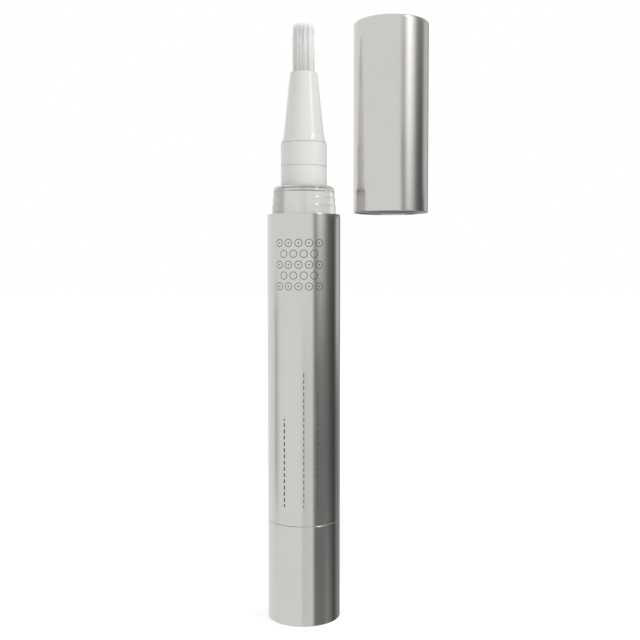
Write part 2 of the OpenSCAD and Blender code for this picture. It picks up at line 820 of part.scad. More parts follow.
module cap_shell() {
    color("silver") at_cap() translate([0, 0, cap_l]) mirror([0, 0, 1])
        rotate_extrude() polygon(cup_outline(cap_r, sleeve_wall, cap_l, cap_round));
}

module cap_liner() {
    color("whitesmoke") at_cap() rotate_extrude() polygon([
        [mouth_r, liner_recess],
        [liner_r, liner_recess],
        [liner_r, liner_z1 - cap_round],
        [liner_r - cap_round, liner_z1],
        [0, liner_z1],
        [0, liner_z1 - liner_top],
        [liner_r - liner_wall, liner_z1 - liner_top],
        [liner_r - liner_wall, washer_z1],
        [washer_r + seat_gap, washer_z1],
        [washer_r + seat_gap, washer_z0],
        [mouth_r, washer_z0]
    ]);
}

module cap_seal() {
    color("white") at_cap()
        tube(ring_r + washer_gap, washer_r, washer_z0, washer_z1);
}

barrel_sleeve();
reservoir_tube();
drive_housing();
screw_nut();
ratchet_ring();
neck_plug();
plug_o_ring();
lower_neck_ring();
upper_neck_ring();
nozzle();
bristle_retainer();
bristles();
feed_tube();
serum();
knob_sleeve();
knob_core();
drive_stem();
click_pawls();
screw_rod();
piston();
piston_o_rings();
cap_shell();
cap_liner();
cap_seal();
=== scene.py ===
"""Dresses a twist-up nail oil pen, with its cap set aside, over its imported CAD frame.

Sizes are in millimetres in the classes and in metres in the meshes. The pen stands on
its knob at the origin, its brush points up, and its front faces -Y.
"""

import logging
import math
import random
from dataclasses import dataclass, field
from enum import Enum
from itertools import pairwise
from typing import Callable, Sequence, Union

import bmesh
import bpy
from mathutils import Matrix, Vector


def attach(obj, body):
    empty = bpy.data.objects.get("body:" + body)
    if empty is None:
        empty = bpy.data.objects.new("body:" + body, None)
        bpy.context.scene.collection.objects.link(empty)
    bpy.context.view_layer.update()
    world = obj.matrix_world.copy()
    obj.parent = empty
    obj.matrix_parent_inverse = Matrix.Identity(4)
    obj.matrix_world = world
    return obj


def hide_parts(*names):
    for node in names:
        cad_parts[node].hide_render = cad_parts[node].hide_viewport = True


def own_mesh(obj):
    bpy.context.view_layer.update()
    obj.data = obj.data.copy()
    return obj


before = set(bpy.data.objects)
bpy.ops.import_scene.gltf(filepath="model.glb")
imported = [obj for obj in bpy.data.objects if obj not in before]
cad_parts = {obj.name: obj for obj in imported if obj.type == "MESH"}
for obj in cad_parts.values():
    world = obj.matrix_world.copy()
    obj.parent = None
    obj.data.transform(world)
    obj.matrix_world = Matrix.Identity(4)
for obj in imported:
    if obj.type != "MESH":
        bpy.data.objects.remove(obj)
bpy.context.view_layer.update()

MM = 0.001
# In metres: points this close are merged, and places this close count as the same
WELD = 1e-7
NEAR = 1e-6
Point = tuple[float, float]
Colour = tuple[float, float, float, float]
Value = Union[float, Sequence[float], bpy.types.NodeSocket]
Inputs = dict[Union[str, int], Value]
Step = tuple[Union[str, float], ...]
Node = bpy.types.ShaderNode
Piece = bpy.types.Object
Material = bpy.types.Material

MATH = "ShaderNodeMath"
RANGE = "ShaderNodeMapRange"
NOISE = "ShaderNodeTexNoise"
CELLS = "ShaderNodeTexVoronoi"
MIX = "ShaderNodeMix"
MAPPING = "ShaderNodeMapping"
PLACE = "ShaderNodeTexCoord"
SHADER = "ShaderNodeBsdfPrincipled"
BUMP = "ShaderNodeBump"
# The two ways in which a step maps a range, all other steps being arithmetic
LINEAR = "LINEAR"
SMOOTH = "SMOOTHSTEP"
# Nearly all values of a broad noise, and of a fine one, lie between these
BROAD = (0.3, 0.7)
FINE = (0.35, 0.65)

log = logging.getLogger("nail_oil_pen")


class Body(str, Enum):
    """The bodies of the pen that new pieces ride on."""

    BARREL = "barrel"
    KNOB = "knob"
    CAP = "cap"


class Slot(str, Enum):
    """The record's material slots, by name."""

    ALUMINIUM = "satin_aluminium"
    CLEAR = "clear_plastic"
    NATURAL = "natural_plastic"
    WHITE = "white_plastic"
    SOFT_SEAL = "soft_seal"
    RUBBER = "seal_rubber"
    BRISTLE = "nylon_bristle"
    OIL = "serum_oil"


class Ends(Enum):
    """Which end of a drawn metal sleeve is closed."""

    OPEN = 0
    BOTTOM = -1
    TOP = 1


# ---------------------------------------------------------------- small helpers


def linear(colour: str, alpha: float = 1.0) -> Colour:
    """Turns an sRGB hex colour into linear light.

    Args:
        colour: Six hex digits after a hash sign.
        alpha: Opacity, passed through.

    Returns:
        Red, green, blue and alpha, each from 0 to 1.
    """
    values = [int(colour[i : i + 2], 16) / 255 for i in (1, 3, 5)]
    red, green, blue = (
        v / 12.92 if v <= 0.04045 else ((v + 0.055) / 1.055) ** 2.4 for v in values
    )
    return red, green, blue, alpha


def add_node(
    tree: bpy.types.NodeTree,
    kind: str,
    inputs: Inputs | None = None,
    **settings: str,
) -> Node:
    """Adds one node with its settings, and sets or links its inputs.

    Args:
        tree: The node tree that the node goes into.
        kind: Blender's name of the node's type.
        inputs: A value, or another node's output, for each named or numbered input.
        settings: Properties of the node itself.

    Returns:
        The new node.
    """
    node = tree.nodes.new(kind)
    for name, setting in settings.items():
        setattr(node, name, setting)
    for key, value in (inputs or {}).items():
        if isinstance(value, bpy.types.NodeSocket):
            tree.links.new(value, node.inputs[key])
        else:
            node.inputs[key].default_value = value
    return node


def add_steps(
    tree: bpy.types.NodeTree, found: dict[str, Value], steps: Sequence[Step]
) -> dict[str, Value]:
    """Adds a chain of nodes, each of which may read by name what comes before it.

    Args:
        tree: The node tree that the nodes go into.
        found: Outputs that the chain reads, by name.
        steps: For each node its own name, its operation or its way of mapping a range, and
            its inputs in order.

    Returns:
        The outputs of all the steps, by name, with the given ones.
    """
    found = dict(found)
    for name, action, *given in steps:
        mapped = action in (LINEAR, SMOOTH)
        kind, setting = (RANGE, "interpolation_type") if mapped else (MATH, "operation")
        inputs = {i: found[v] if isinstance(v, str) else v for i, v in enumerate(given)}
        found[name] = add_node(tree, kind, inputs, **{setting: action}).outputs[0]
    return found


def new_material(name: str) -> tuple[Material, bpy.types.NodeTree, Node]:
    """Makes an empty material.

    Args:
        name: The material's name.

    Returns:
        The material, its node tree and its output node.
    """
    material = bpy.data.materials.new(name)
    material.use_nodes = True
    tree = material.node_tree
    tree.nodes.clear()
    return material, tree, add_node(tree, "ShaderNodeOutputMaterial")


def deselect_all() -> None:
    """Leaves edit mode and deselects every object."""
    if bpy.context.object and bpy.context.object.mode != "OBJECT":
        bpy.ops.object.mode_set(mode="OBJECT")
    bpy.ops.object.select_all(action="DESELECT")


def choose(piece: Piece, kind: str, test: Callable[[Vector], bool]) -> None:
    """Selects, in edit mode, the faces or edges that pass a test of their place.

    Args:
        piece: The piece in edit mode.
        kind: EDGE or FACE.
        test: Says of a point, in metres, whether it is wanted: a face's middle, or both
            ends of an edge.
    """
    bpy.ops.mesh.select_mode(type=kind)
    bpy.ops.mesh.select_all(action="DESELECT")
    shape = bmesh.from_edit_mesh(piece.data)
    if kind == "FACE":
        for face in shape.faces:
            face.select_set(test(face.calc_center_median()))
    else:
        for edge in shape.edges:
            edge.select_set(all(test(v.co) for v in edge.verts))
    bmesh.update_edit_mesh(piece.data)


def start_piece(
    radius: float, low: float, high: float, sides: int, centre_x: float = 0, fill: str = "NGON"
) -> Piece:
    """Adds an upright cylinder to model from, and goes into edit mode.

    Args:
        radius: Its radius.
        low: Height of its foot.
        high: Height of its top.
        sides: Number of facets around it.
        centre_x: Place of its axis along X.
        fill: NGON or NOTHING for its ends.

    Returns:
        The cylinder, with its place in its mesh.
    """
    deselect_all()
    bpy.ops.mesh.primitive_cylinder_add(
        vertices=sides,
        radius=radius * MM,
        depth=(high - low) * MM,
        location=(centre_x * MM, 0, (high + low) / 2 * MM),
        end_fill_type=fill,
    )
    piece = bpy.context.active_object
    bpy.ops.object.transform_apply(location=True)
    bpy.ops.object.mode_set(mode="EDIT")
    return piece


def finish_piece(piece: Piece, name: str, angle: float = 35) -> Piece:
    """Leaves edit mode, puts the piece's place into its mesh and smooths its shading.

    Args:
        piece: The piece just modelled.
        name: Its name.
        angle: Sharpest angle that is still shaded smooth, in degrees.

    Returns:
        The piece.
    """
    deselect_all()
    piece.select_set(True)
    bpy.context.view_layer.objects.active = piece
    bpy.ops.object.transform_apply(location=True, rotation=True, scale=True)
    bpy.ops.object.shade_smooth_by_angle(angle=math.radians(angle))
    piece.name = piece.data.name = name
    deselect_all()
    return piece


def supported(outline: Sequence[Point], margin: float = 0.06) -> list[Point]:
    """Adds points near the ends of long lines, so that rounded corners don't shade them.

    Args:
        outline: Corners as radius and height, in order.
        margin: Distance of the new points from the ends.

    Returns:
        The fuller outline.
    """
    points = [outline[0]]
    for (r0, z0), (r1, z1) in pairwise(outline):
        length = math.hypot(r1 - r0, z1 - z0)
        if length > 6 * margin:
            for share in (margin / length, 1 - margin / length):
                points.append((r0 + (r1 - r0) * share, z0 + (z1 - z0) * share))
        points.append((r1, z1))
    return points


def turned(name: str, outline: Sequence[Point], centre_x: float = 0, steps: int = 128) -> Piece:
    """Turns an outline about an upright axis, as on a lathe.

    Args:
        name: Name of the piece.
        outline: Corners as radius and height. The last one joins the first, unless both
            are on the axis.
        centre_x: Place of the axis along X.
        steps: Number of facets around the axis.

    Returns:
        The turned piece.
    """
    on_axis = outline[0][0] == 0 and outline[-1][0] == 0
    points = supported(outline if on_axis else [*outline, outline[0]])
    deselect_all()
    start_r, start_z = points[0]
    bpy.ops.mesh.primitive_plane_add(
        size=MM, location=((centre_x + start_r) * MM, 0, start_z * MM)
    )
    piece = bpy.context.active_object
    bpy.ops.object.transform_apply(location=True)
    bpy.ops.object.mode_set(mode="EDIT")
    bpy.ops.mesh.select_mode(type="VERT")
    bpy.ops.mesh.select_all(action="SELECT")
    bpy.ops.mesh.merge(type="CENTER")
    for (r0, z0), (r1, z1) in pairwise(points):
        bpy.ops.mesh.extrude_vertices_move(
            TRANSFORM_OT_translate={"value": ((r1 - r0) * MM, 0, (z1 - z0) * MM)}
        )
    bpy.ops.mesh.select_all(action="SELECT")
    bpy.ops.mesh.spin(
        steps=steps, angle=math.tau, center=(centre_x * MM, 0, 0), axis=(0, 0, 1)
    )
    bpy.ops.mesh.select_all(action="SELECT")
    bpy.ops.mesh.remove_doubles(threshold=WELD)
    bpy.ops.mesh.normals_make_consistent(inside=False)
    return finish_piece(piece, name)


def ring(inner: float, outer: float, low: float, high: float) -> list[Point]:
    """Returns the outline of a plain ring, or of a rod where its inner radius is 0."""
    return [(inner, low), (outer, low), (outer, high), (inner, high)]


def arc(r: float, z: float, size: float, start: float, end: float, steps: int = 8) -> list[Point]:
    """Points of an arc in an outline.

    Args:
        r: Radius at which the arc's centre lies.
        z: Height at which the arc's centre lies.
        size: The arc's own radius.
        start: Angle of its first point, in degrees.
        end: Angle of its last point, in degrees.
        steps: Number of steps from the first point to the last.

    Returns:
        The points, as radius and height.
    """
    angles = (math.radians(start + (end - start) * i / steps) for i in range(steps + 1))
    return [(r + size * math.cos(a), z + size * math.sin(a)) for a in angles]


def dress(piece: Piece, material: Material, slot: Slot, body: Body, *nodes: str) -> Piece:
    """Gives a new piece its finish and its body, and hides the CAD nodes that it stands for.

    Args:
        piece: The new piece.
        material: Its finish.
        slot: The record's slot of that finish; not used.
        body: The body that it rides on.
        nodes: CAD nodes that it replaces.

    Returns:
        The piece.
    """
    piece.data.materials.clear()
    piece.data.materials.append(material)
    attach(piece, body.value)
    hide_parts(*nodes)
    log.info("%s: %d faces on %s", piece.name, len(piece.data.polygons), body.value)
    return piece


def wet_bore(piece: Piece, material: Material, radius: float, slack: float = 0.02) -> None:
    """Gives the wall of a bore a finish of its own.

    Args:
        piece: The bored piece, dressed and on the pen's axis.
        material: The finish of its bore.
        radius: The bore's radius.
        slack: How far outside that radius a face's middle may be.
    """
    piece.data.materials.append(material)
    for face in piece.data.polygons:
        if math.hypot(face.center.x, face.center.y) < (radius + slack) * MM:
            face.material_index = 1


def dress_nodes(material: Material, *names: str) -> None:
    """Gives CAD nodes that stay their finish.

    Args:
        material: The finish.
        names: The nodes' names.
    """
    for name in names:
        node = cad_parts[name]
        node.data.materials.clear()
        node.data.materials.append(material)
        log.info("%s: CAD node in %s", name, material.name)


# ---------------------------------------------------------------------- finishes


@dataclass(frozen=True)
class PrintedBand:
    """A generic print on the barrel: staggered small rings, and three stitched lines.

    The rings stand in columns, one more of them in the even rows, which have dots. A place
    round the barrel is measured from its front to the right, and a height from the pen's
    foot.
    """

    radius: float = 8.0
    middle: float = -1.0
    first_z: float = 72.2
    rows: int = 5
    columns: int = 4
    pitch_u: float = 2.25
    pitch_z: float = 2.3
    ring_r: float = 0.78
    dot_r: float = 0.16
    line: float = 0.13
    stitch_pitch: float = 1.35
    stitch_share: float = 0.66
    # Place round the barrel, foot, top and width of each stitched line
    stitched: tuple[tuple[float, float, float, float], ...] = (
        (-4.3, 25.9, 45.0, 0.3),
        (0.1, 25.9, 55.4, 0.17),
        (3.2, 25.9, 51.3, 0.17),
    )

    def mask(self, tree: bpy.types.NodeTree) -> bpy.types.NodeSocket:
        """Draws the print by arithmetic on Object coordinates.

        Args:
            tree: The barrel finish's node tree.

        Returns:
            An output that is 1 in the ink and 0 on the bare metal.
        """
        place = add_node(tree, PLACE).outputs["Object"]
        axes = add_node(tree, "ShaderNodeSeparateXYZ", {0: place}).outputs
        across, up = self.radius / self.pitch_u, 1 / (self.pitch_z * MM)
        steps: list[Step] = [
            ("front", "MULTIPLY", "y", -1.0),
            ("turn", "ARCTAN2", "x", "front"),
            ("round", "MULTIPLY", "turn", self.radius),
            ("across", "MULTIPLY_ADD", "turn", across, -self.middle / self.pitch_u),
            ("up", "MULTIPLY_ADD", "z", up, -self.first_z / self.pitch_z),
            ("row", "FLOOR", "up"),
            ("odd", "FLOORED_MODULO", "row", 2.0),
            ("even", "SUBTRACT", 1.0, "odd"),
            ("column", "MULTIPLY_ADD", "even", 0.5, "across"),
            ("cell_u", "FRACT", "column"),
            ("cell_z", "FRACT", "up"),
            ("near_u", "MULTIPLY_ADD", "cell_u", self.pitch_u, -self.pitch_u / 2),
            ("near_z", "MULTIPLY_ADD", "cell_z", self.pitch_z, -self.pitch_z / 2),
            ("square_u", "MULTIPLY", "near_u", "near_u"),
            ("square", "MULTIPLY_ADD", "near_z", "near_z", "square_u"),
            ("away", "SQRT", "square"),
            ("ring", "COMPARE", "away", self.ring_r, self.line / 2),
            ("spot", "LESS_THAN", "away", self.dot_r),
            ("dot", "MULTIPLY", "spot", "even"),
            ("mark", "MAXIMUM", "ring", "dot"),
            ("reach", "MULTIPLY_ADD", "even", 0.5, self.columns / 2),
            ("aside", "ABSOLUTE", "across"),
            ("in_columns", "LESS_THAN", "aside", "reach"),
            ("in_rows", "COMPARE", "row", (self.rows - 1) / 2, self.rows / 2 - 0.25),
            ("within", "MULTIPLY", "in_columns", "in_rows"),
            ("ink", "MULTIPLY", "mark", "within"),
            ("stitches", "DIVIDE", "z", self.stitch_pitch * MM),
            ("stitch", "FRACT", "stitches"),
            ("thread", "LESS_THAN", "stitch", self.stitch_share),
        ]
        for place_u, low, high, width in self.stitched:
            middle_z, half = (low + high) / 2 * MM, (high - low) / 2 * MM
            steps += [
                ("upright", "COMPARE", "round", place_u, width / 2),
                ("length", "COMPARE", "z", middle_z, half),
                ("strip", "MULTIPLY", "upright", "length"),
                ("seam", "MULTIPLY", "strip", "thread"),
                ("ink", "MAXIMUM", "ink", "seam"),
            ]
        given = {"x": axes["X"], "y": axes["Y"], "z": axes["Z"]}
        return add_steps(tree, given, steps)["ink"]


@dataclass(frozen=True)
class SatinAluminium:
    """Drawn aluminium tube, turned to a fine satin and clear anodised.

    The turning lines run round the tube and its ends, so reflections smear a little up
    and down but keep crisp upright edges. The oxide leaves a pale, slightly warm grey.
    """

    name: str
    centre_x: float = 0.0
    colour: str = "#CFCDC9"
    shade: str = "#C8C6C2"
    ink_colour: str = "#3C3B3A"
    roughness: float = 0.16
    # Share by which the patches change it, and what the turning lines add to it
    uneven: float = 0.1
    streak: float = 0.012
    # Turning lines are some 0.02 mm apart on the real tube; drawn wider so that they show
    line_spacing: float = 0.11
    line_depth: float = 0.0006
    line_strength: float = 0.5
    # Share by which the lines drift off true circles
    drift: float = 0.03
    # Patches of handling and of uneven etching
    patch: float = 9.0
    ink_roughness: float = 0.42
    printed: PrintedBand | None = None

    def build(self) -> Material:
        """Makes the material.

        Returns:
            The new material.
        """
        material, tree, output = new_material(self.name)
        place = add_node(tree, PLACE).outputs["Object"]
        centring = {"Vector": place, "Location": (-self.centre_x * MM, 0, 0)}
        centred = add_node(tree, MAPPING, centring).outputs[0]
        axes = add_node(tree, "ShaderNodeSeparateXYZ", {0: centred}).outputs
        # Distance from the axis and height: lines round the wall, rings on the flat ends
        across = add_steps(
            tree,
            {"x": axes["X"], "y": axes["Y"]},
            (
                ("square_x", "MULTIPLY", "x", "x"),
                ("square", "MULTIPLY_ADD", "y", "y", "square_x"),
                ("away", "SQRT", "square"),
                ("along", "MULTIPLY_ADD", "x", self.drift, "away"),
                ("side", "MULTIPLY", "y", self.drift),
            ),
        )
        lathe = {"X": across["along"], "Y": across["side"], "Z": axes["Z"]}
        turning = add_node(tree, "ShaderNodeCombineXYZ", lathe).outputs[0]
        fine = {"Vector": turning, "Scale": 1 / (self.line_spacing * MM), "Detail": 3.0}
        lines = add_node(tree, NOISE, fine).outputs["Fac"]
        broad = {"Vector": centred, "Scale": 1 / (self.patch * MM), "Detail": 4.0}
        patches = add_node(tree, NOISE, broad).outputs["Fac"]
        colours = {"Factor": patches, 6: linear(self.shade), 7: linear(self.colour)}
        tint = add_node(tree, MIX, colours, data_type="RGBA").outputs[2]
        low, high = self.roughness * (1 - self.uneven), self.roughness * (1 + self.uneven)
        steps: tuple[Step, ...] = (
            ("soft", SMOOTH, "patches", *BROAD, low, high),
            ("streaks", SMOOTH, "lines", *FINE, -self.streak, self.streak),
            ("rough", "ADD", "soft", "streaks"),
        )
        rough = add_steps(tree, {"patches": patches, "lines": lines}, steps)["rough"]
        metal: Value = 1.0
        if self.printed:
            # A screen printed ink: dark, matt and thicker than the oxide
            ink = self.printed.mask(tree)
            dyes = {"Factor": ink, 6: tint, 7: linear(self.ink_colour)}
            tint = add_node(tree, MIX, dyes, data_type="RGBA").outputs[2]
            steps = (
                ("bare", "SUBTRACT", 1.0, "ink"),
                ("metal_rough", "MULTIPLY", "bare", "rough"),
                ("rough", "MULTIPLY_ADD", "ink", self.ink_roughness, "metal_rough"),
            )
            found = add_steps(tree, {"ink": ink, "rough": rough}, steps)
            rough, metal = found["rough"], found["bare"]
        depth = self.line_depth * MM
        relief = {"Strength": self.line_strength, "Distance": depth, "Height": lines}
        bump = add_node(tree, BUMP, relief).outputs[0]
        surface = {"Base Color": tint, "Metallic": metal, "Roughness": rough, "Normal": bump}
        shader = add_node(tree, SHADER, surface)
        tree.links.new(shader.outputs[0], output.inputs["Surface"])
        return material


@dataclass(frozen=True)
class MouldedPlastic:
    """An injection moulded plastic, from opaque white to clear.

    The surface copies the mould's polish, with a faint orange peel, and milky grades glow
    a little because light scatters in them.
    """

    name: str
    colour: str
    shade: str
    roughness: float
    ior: float = 1.49
    clear: float = 0.0
    glow: float = 0.0
    coat: float = 0.0
    # Share of the light that a thin wall stops
    cover: float = 1.0
    # Spacing of the orange peel, its depth and how strongly it shows
    peel: float = 0.6
    peel_depth: float = 0.002
    peel_strength: float = 0.4
    # Spacing of the slow changes of colour and polish along the flow of the melt, and the
    # share by which the roughness changes
    flow: float = 7.0
    uneven: float = 0.15
    # How far light creeps inside a milky grade, and the share of it for red, green and blue
    reach: float = 1.0
    creep: tuple[float, float, float] = (1.0, 0.95, 0.9)

    def build(self) -> Material:
        """Makes the material.

        Returns:
            The new material.
        """
        material, tree, output = new_material(self.name)
        place = add_node(tree, PLACE).outputs["Object"]
        fine = {"Vector": place, "Scale": 1 / (self.peel * MM), "Detail": 2.0}
        peel = add_node(tree, NOISE, fine).outputs["Fac"]
        broad = {"Vector": place, "Scale": 1 / (self.flow * MM), "Detail": 3.0}
        flow = add_node(tree, NOISE, broad).outputs["Fac"]
        colours = {"Factor": flow, 6: linear(self.shade), 7: linear(self.colour)}
        tint = add_node(tree, MIX, colours, data_type="RGBA").outputs[2]
        low, high = self.roughness * (1 - self.uneven), self.roughness * (1 + self.uneven)
        polish: tuple[Step, ...] = (("rough", LINEAR, "flow", *BROAD, low, high),)
        rough = add_steps(tree, {"flow": flow}, polish)["rough"]
        depth = self.peel_depth * MM
        relief = {"Strength": self.peel_strength, "Distance": depth, "Height": peel}
        bump = add_node(tree, BUMP, relief).outputs[0]
        surface = {
            "Base Color": tint,
            "Roughness": rough,
            "Normal": bump,
            "IOR": self.ior,
            "Transmission Weight": self.clear,
            "Coat Weight": self.coat,
            "Alpha": self.cover,
            "Subsurface Weight": self.glow,
            "Subsurface Radius": self.creep,
            "Subsurface Scale": self.reach * MM,
        }
        shader = add_node(tree, SHADER, surface)
        tree.links.new(shader.outputs[0], output.inputs["Surface"])
        return material


@dataclass(frozen=True)
class NylonFilament:
    """Drawn nylon bristles: glossy and milky, with painted light that makes them paler towards the
    tapered tips.
    """

    name: str = "drawn_nylon_filament"
    # Colours at the foot and at the tips, and the clumps' dark tone: the paler tips are painted
    # light, as though lit through their thin ends
    foot: str = "#F3F2F0"
    tip: str = "#FCFCFB"
    dark: str = "#DDDCD9"
    roughness: float = 0.28
    ior: float = 1.53
    # Heights over which painted light pales the bristles from the foot's colour to the tips'
    painted_light_foot_z: float = 119.6
    painted_light_top_z: float = 127.5
    # Clumps of bristles differ a little in tone, and less so towards the paler tips: their width,
    # how much less they change along the bristles, and the share of the dark tone in the darkest
    clump: float = 0.55
    stretch: float = 0.02
    darkest: float = 0.8

    def build(self) -> Material:
        """Makes the material.

        Returns:
            The new material.
        """
        material, tree, output = new_material(self.name)
        place = add_node(tree, PLACE).outputs["Object"]
        height = add_node(tree, "ShaderNodeSeparateXYZ", {0: place}).outputs["Z"]
        drawn = {"Vector": place, "Scale": (1, 1, self.stretch)}
        upright = add_node(tree, MAPPING, drawn).outputs[0]
        spread = {"Vector": upright, "Scale": 1 / (self.clump * MM), "Detail": 2.0}
        clumps = add_node(tree, NOISE, spread).outputs["Fac"]
        low, high = self.painted_light_foot_z * MM, self.painted_light_top_z * MM
        # Painted light: the colour pales with height towards the tips, and the dark clumps fade out
        # there
        steps = (
            ("rise", SMOOTH, "height", low, high, 0.0, 1.0),
            ("dark", SMOOTH, "clumps", 0.35, 0.6, self.darkest, 0.0),
            ("left", "SUBTRACT", 1.0, "rise"),
            ("shade", "MULTIPLY", "dark", "left"),
        )
        found = add_steps(tree, {"height": height, "clumps": clumps}, steps)
        pale = {"Factor": found["rise"], 6: linear(self.foot), 7: linear(self.tip)}
        tint = add_node(tree, MIX, pale, data_type="RGBA").outputs[2]
        toned = {"Factor": found["shade"], 6: tint, 7: linear(self.dark)}
        tint = add_node(tree, MIX, toned, data_type="RGBA").outputs[2]
        surface = {"Base Color": tint, "Roughness": self.roughness, "IOR": self.ior}
        shader = add_node(tree, SHADER, surface)
        tree.links.new(shader.outputs[0], output.inputs["Surface"])
        return material


@dataclass(frozen=True)
class SoftSeal:
    """A rubber ring or a washer cut from foamed polyethylene, with its bloom or its cells."""

    name: str
    colour: str
    shade: str
    roughness: float
    # Size of a foam cell, or of the bloom on rubber
    cell: float
    depth: float
    strength: float = 0.4
    # How much rougher it is between the cells
    dulling: float = 0.12

    def build(self) -> Material:
        """Makes the material.

        Returns:
            The new material.
        """
        material, tree, output = new_material(self.name)
        place = add_node(tree, PLACE).outputs["Object"]
        spread = {"Vector": place, "Scale": 1 / (self.cell * MM)}
        cells = add_node(tree, CELLS, spread).outputs["Distance"]
        colours = {"Factor": cells, 6: linear(self.colour), 7: linear(self.shade)}
        tint = add_node(tree, MIX, colours, data_type="RGBA").outputs[2]
        duller = self.roughness + self.dulling
        dull = {0: cells, 1: 0.0, 2: 1.0, 3: self.roughness, 4: duller}
        rough = add_node(tree, RANGE, dull).outputs[0]
        relief = {"Strength": self.strength, "Distance": self.depth * MM, "Height": cells}
        bump = add_node(tree, BUMP, relief).outputs[0]
        surface = {"Base Color": tint, "Roughness": rough, "Normal": bump}
        shader = add_node(tree, SHADER, surface)
        tree.links.new(shader.outputs[0], output.inputs["Surface"])
        return material


@dataclass(frozen=True)
class ClearOil:
    """A clear, pale straw oil, a little deeper in tone where fine bubbles hang.

    It fills the reservoir, and shows where the barrel is opened.
    """

    name: str = "pale_straw_oil"
    colour: str = "#F6EEC4"
    pale: str = "#FBF7DE"
    bubble: float = 0.9
    roughness: float = 0.04
    ior: float = 1.47
    clear: float = 0.9

    def build(self) -> Material:
        """Makes the material.

        Returns:
            The new material.
        """
        material, tree, output = new_material(self.name)
        place = add_node(tree, PLACE).outputs["Object"]
        spread = {"Vector": place, "Scale": 1 / (self.bubble * MM)}
        bubbles = add_node(tree, CELLS, spread).outputs["Distance"]
        colours = {"Factor": bubbles, 6: linear(self.pale), 7: linear(self.colour)}
        tint = add_node(tree, MIX, colours, data_type="RGBA").outputs[2]
        surface = {
            "Base Color": tint,
            "Roughness": self.roughness,
            "IOR": self.ior,
            "Transmission Weight": self.clear,
        }
        shader = add_node(tree, SHADER, surface)
        tree.links.new(shader.outputs[0], output.inputs["Surface"])
        return material


def made(finish: SatinAluminium | MouldedPlastic | NylonFilament | SoftSeal | ClearOil) -> Material:
    """Returns a field that holds the finish's material, which is made with its owner."""
    return field(default_factory=finish.build)


@dataclass(frozen=True)
class Finishes:
    """Every finish of the pen, made once."""

    # Fine satin metal: soft bands of light with crisp upright edges, and ink on the barrel
    barrel_metal: Material = made(
        SatinAluminium("satin_anodised_aluminium_printed", printed=PrintedBand())
    )
    cap_metal: Material = made(SatinAluminium("satin_anodised_aluminium_cap", centre_x=19.0))
    # Clear moulded plastic, polished: water clear, with soft bright edges
    clear: Material = made(
        MouldedPlastic(
            "clear_moulded_plastic", "#F3F2F1", "#EFEEED", 0.05, ior=1.15, clear=0.92, coat=1.0
        )
    )
    # Natural polypropylene: a faint veil inside the clear neck
    plug: Material = made(
        MouldedPlastic("natural_polypropylene_plug", "#FCFBFA", "#F6F5F4", 0.12, cover=0.22)
    )
    # Oil wets the bores that the plug and the feed tube fill. Its index is the plastic's,
    # so their walls neither shine nor bend the light, and are hardly seen
    wetted: Material = made(
        MouldedPlastic("plastic_wetted_by_oil", "#FDFCFA", "#FBFAF7", 0.02, ior=1.001, clear=1.0)
    )
    # Grey polypropylene of the cap's lining, from a fine matt mould
    liner: Material = made(
        MouldedPlastic("grey_polypropylene", "#A09F9C", "#989794", 0.38, peel=0.35)
    )
    # Natural polyethylene: waxy, half clear and faintly milky
    natural: Material = made(
        MouldedPlastic("natural_polyethylene", "#F0F0ED", "#E9E9E5", 0.32, clear=0.5, ior=1.2)
    )
    # Drawn fluoropolymer tube: its thin, milky wall is nearly unseen in the clear neck
    feed: Material = made(
        MouldedPlastic("thin_fluoropolymer_tube", "#F6F6F5", "#F0F0EE", 0.25, ior=1.36, cover=0.03)
    )
    # White polypropylene from a polished mould: glossy and slightly waxy
    white: Material = made(
        MouldedPlastic("white_polypropylene", "#ECEBE9", "#E8E7E5", 0.08, glow=0.1)
    )
    # Acetal of the drive pieces: dense, ivory and satin, and whiter in the screw rod
    drive: Material = made(
        MouldedPlastic("ivory_acetal", "#E9E6DC", "#DFDBCF", 0.36, ior=1.48, peel=0.3)
    )
    screw: Material = made(
        MouldedPlastic("white_acetal", "#E6E6E3", "#DADAD6", 0.3, ior=1.48, peel=0.3)
    )
    # Nitrile rubber: dark, with a dull bloom
    rubber: Material = made(
        SoftSeal("nitrile_rubber", "#38393B", "#2C2D2F", 0.5, cell=0.12, depth=0.004)
    )
    # Foamed polyethylene washer: white, with fine closed cells
    foam: Material = made(
        SoftSeal("foamed_polyethylene", "#F0F0EC", "#DCDCD7", 0.6, cell=0.28, depth=0.03)
    )
    # Fine glossy strands, with painted light that makes them paler at the tips, and the pale oil
    # that feeds them
    nylon: Material = made(NylonFilament())
    oil: Material = made(ClearOil())


# ------------------------------------------------------------------ sub-assemblies


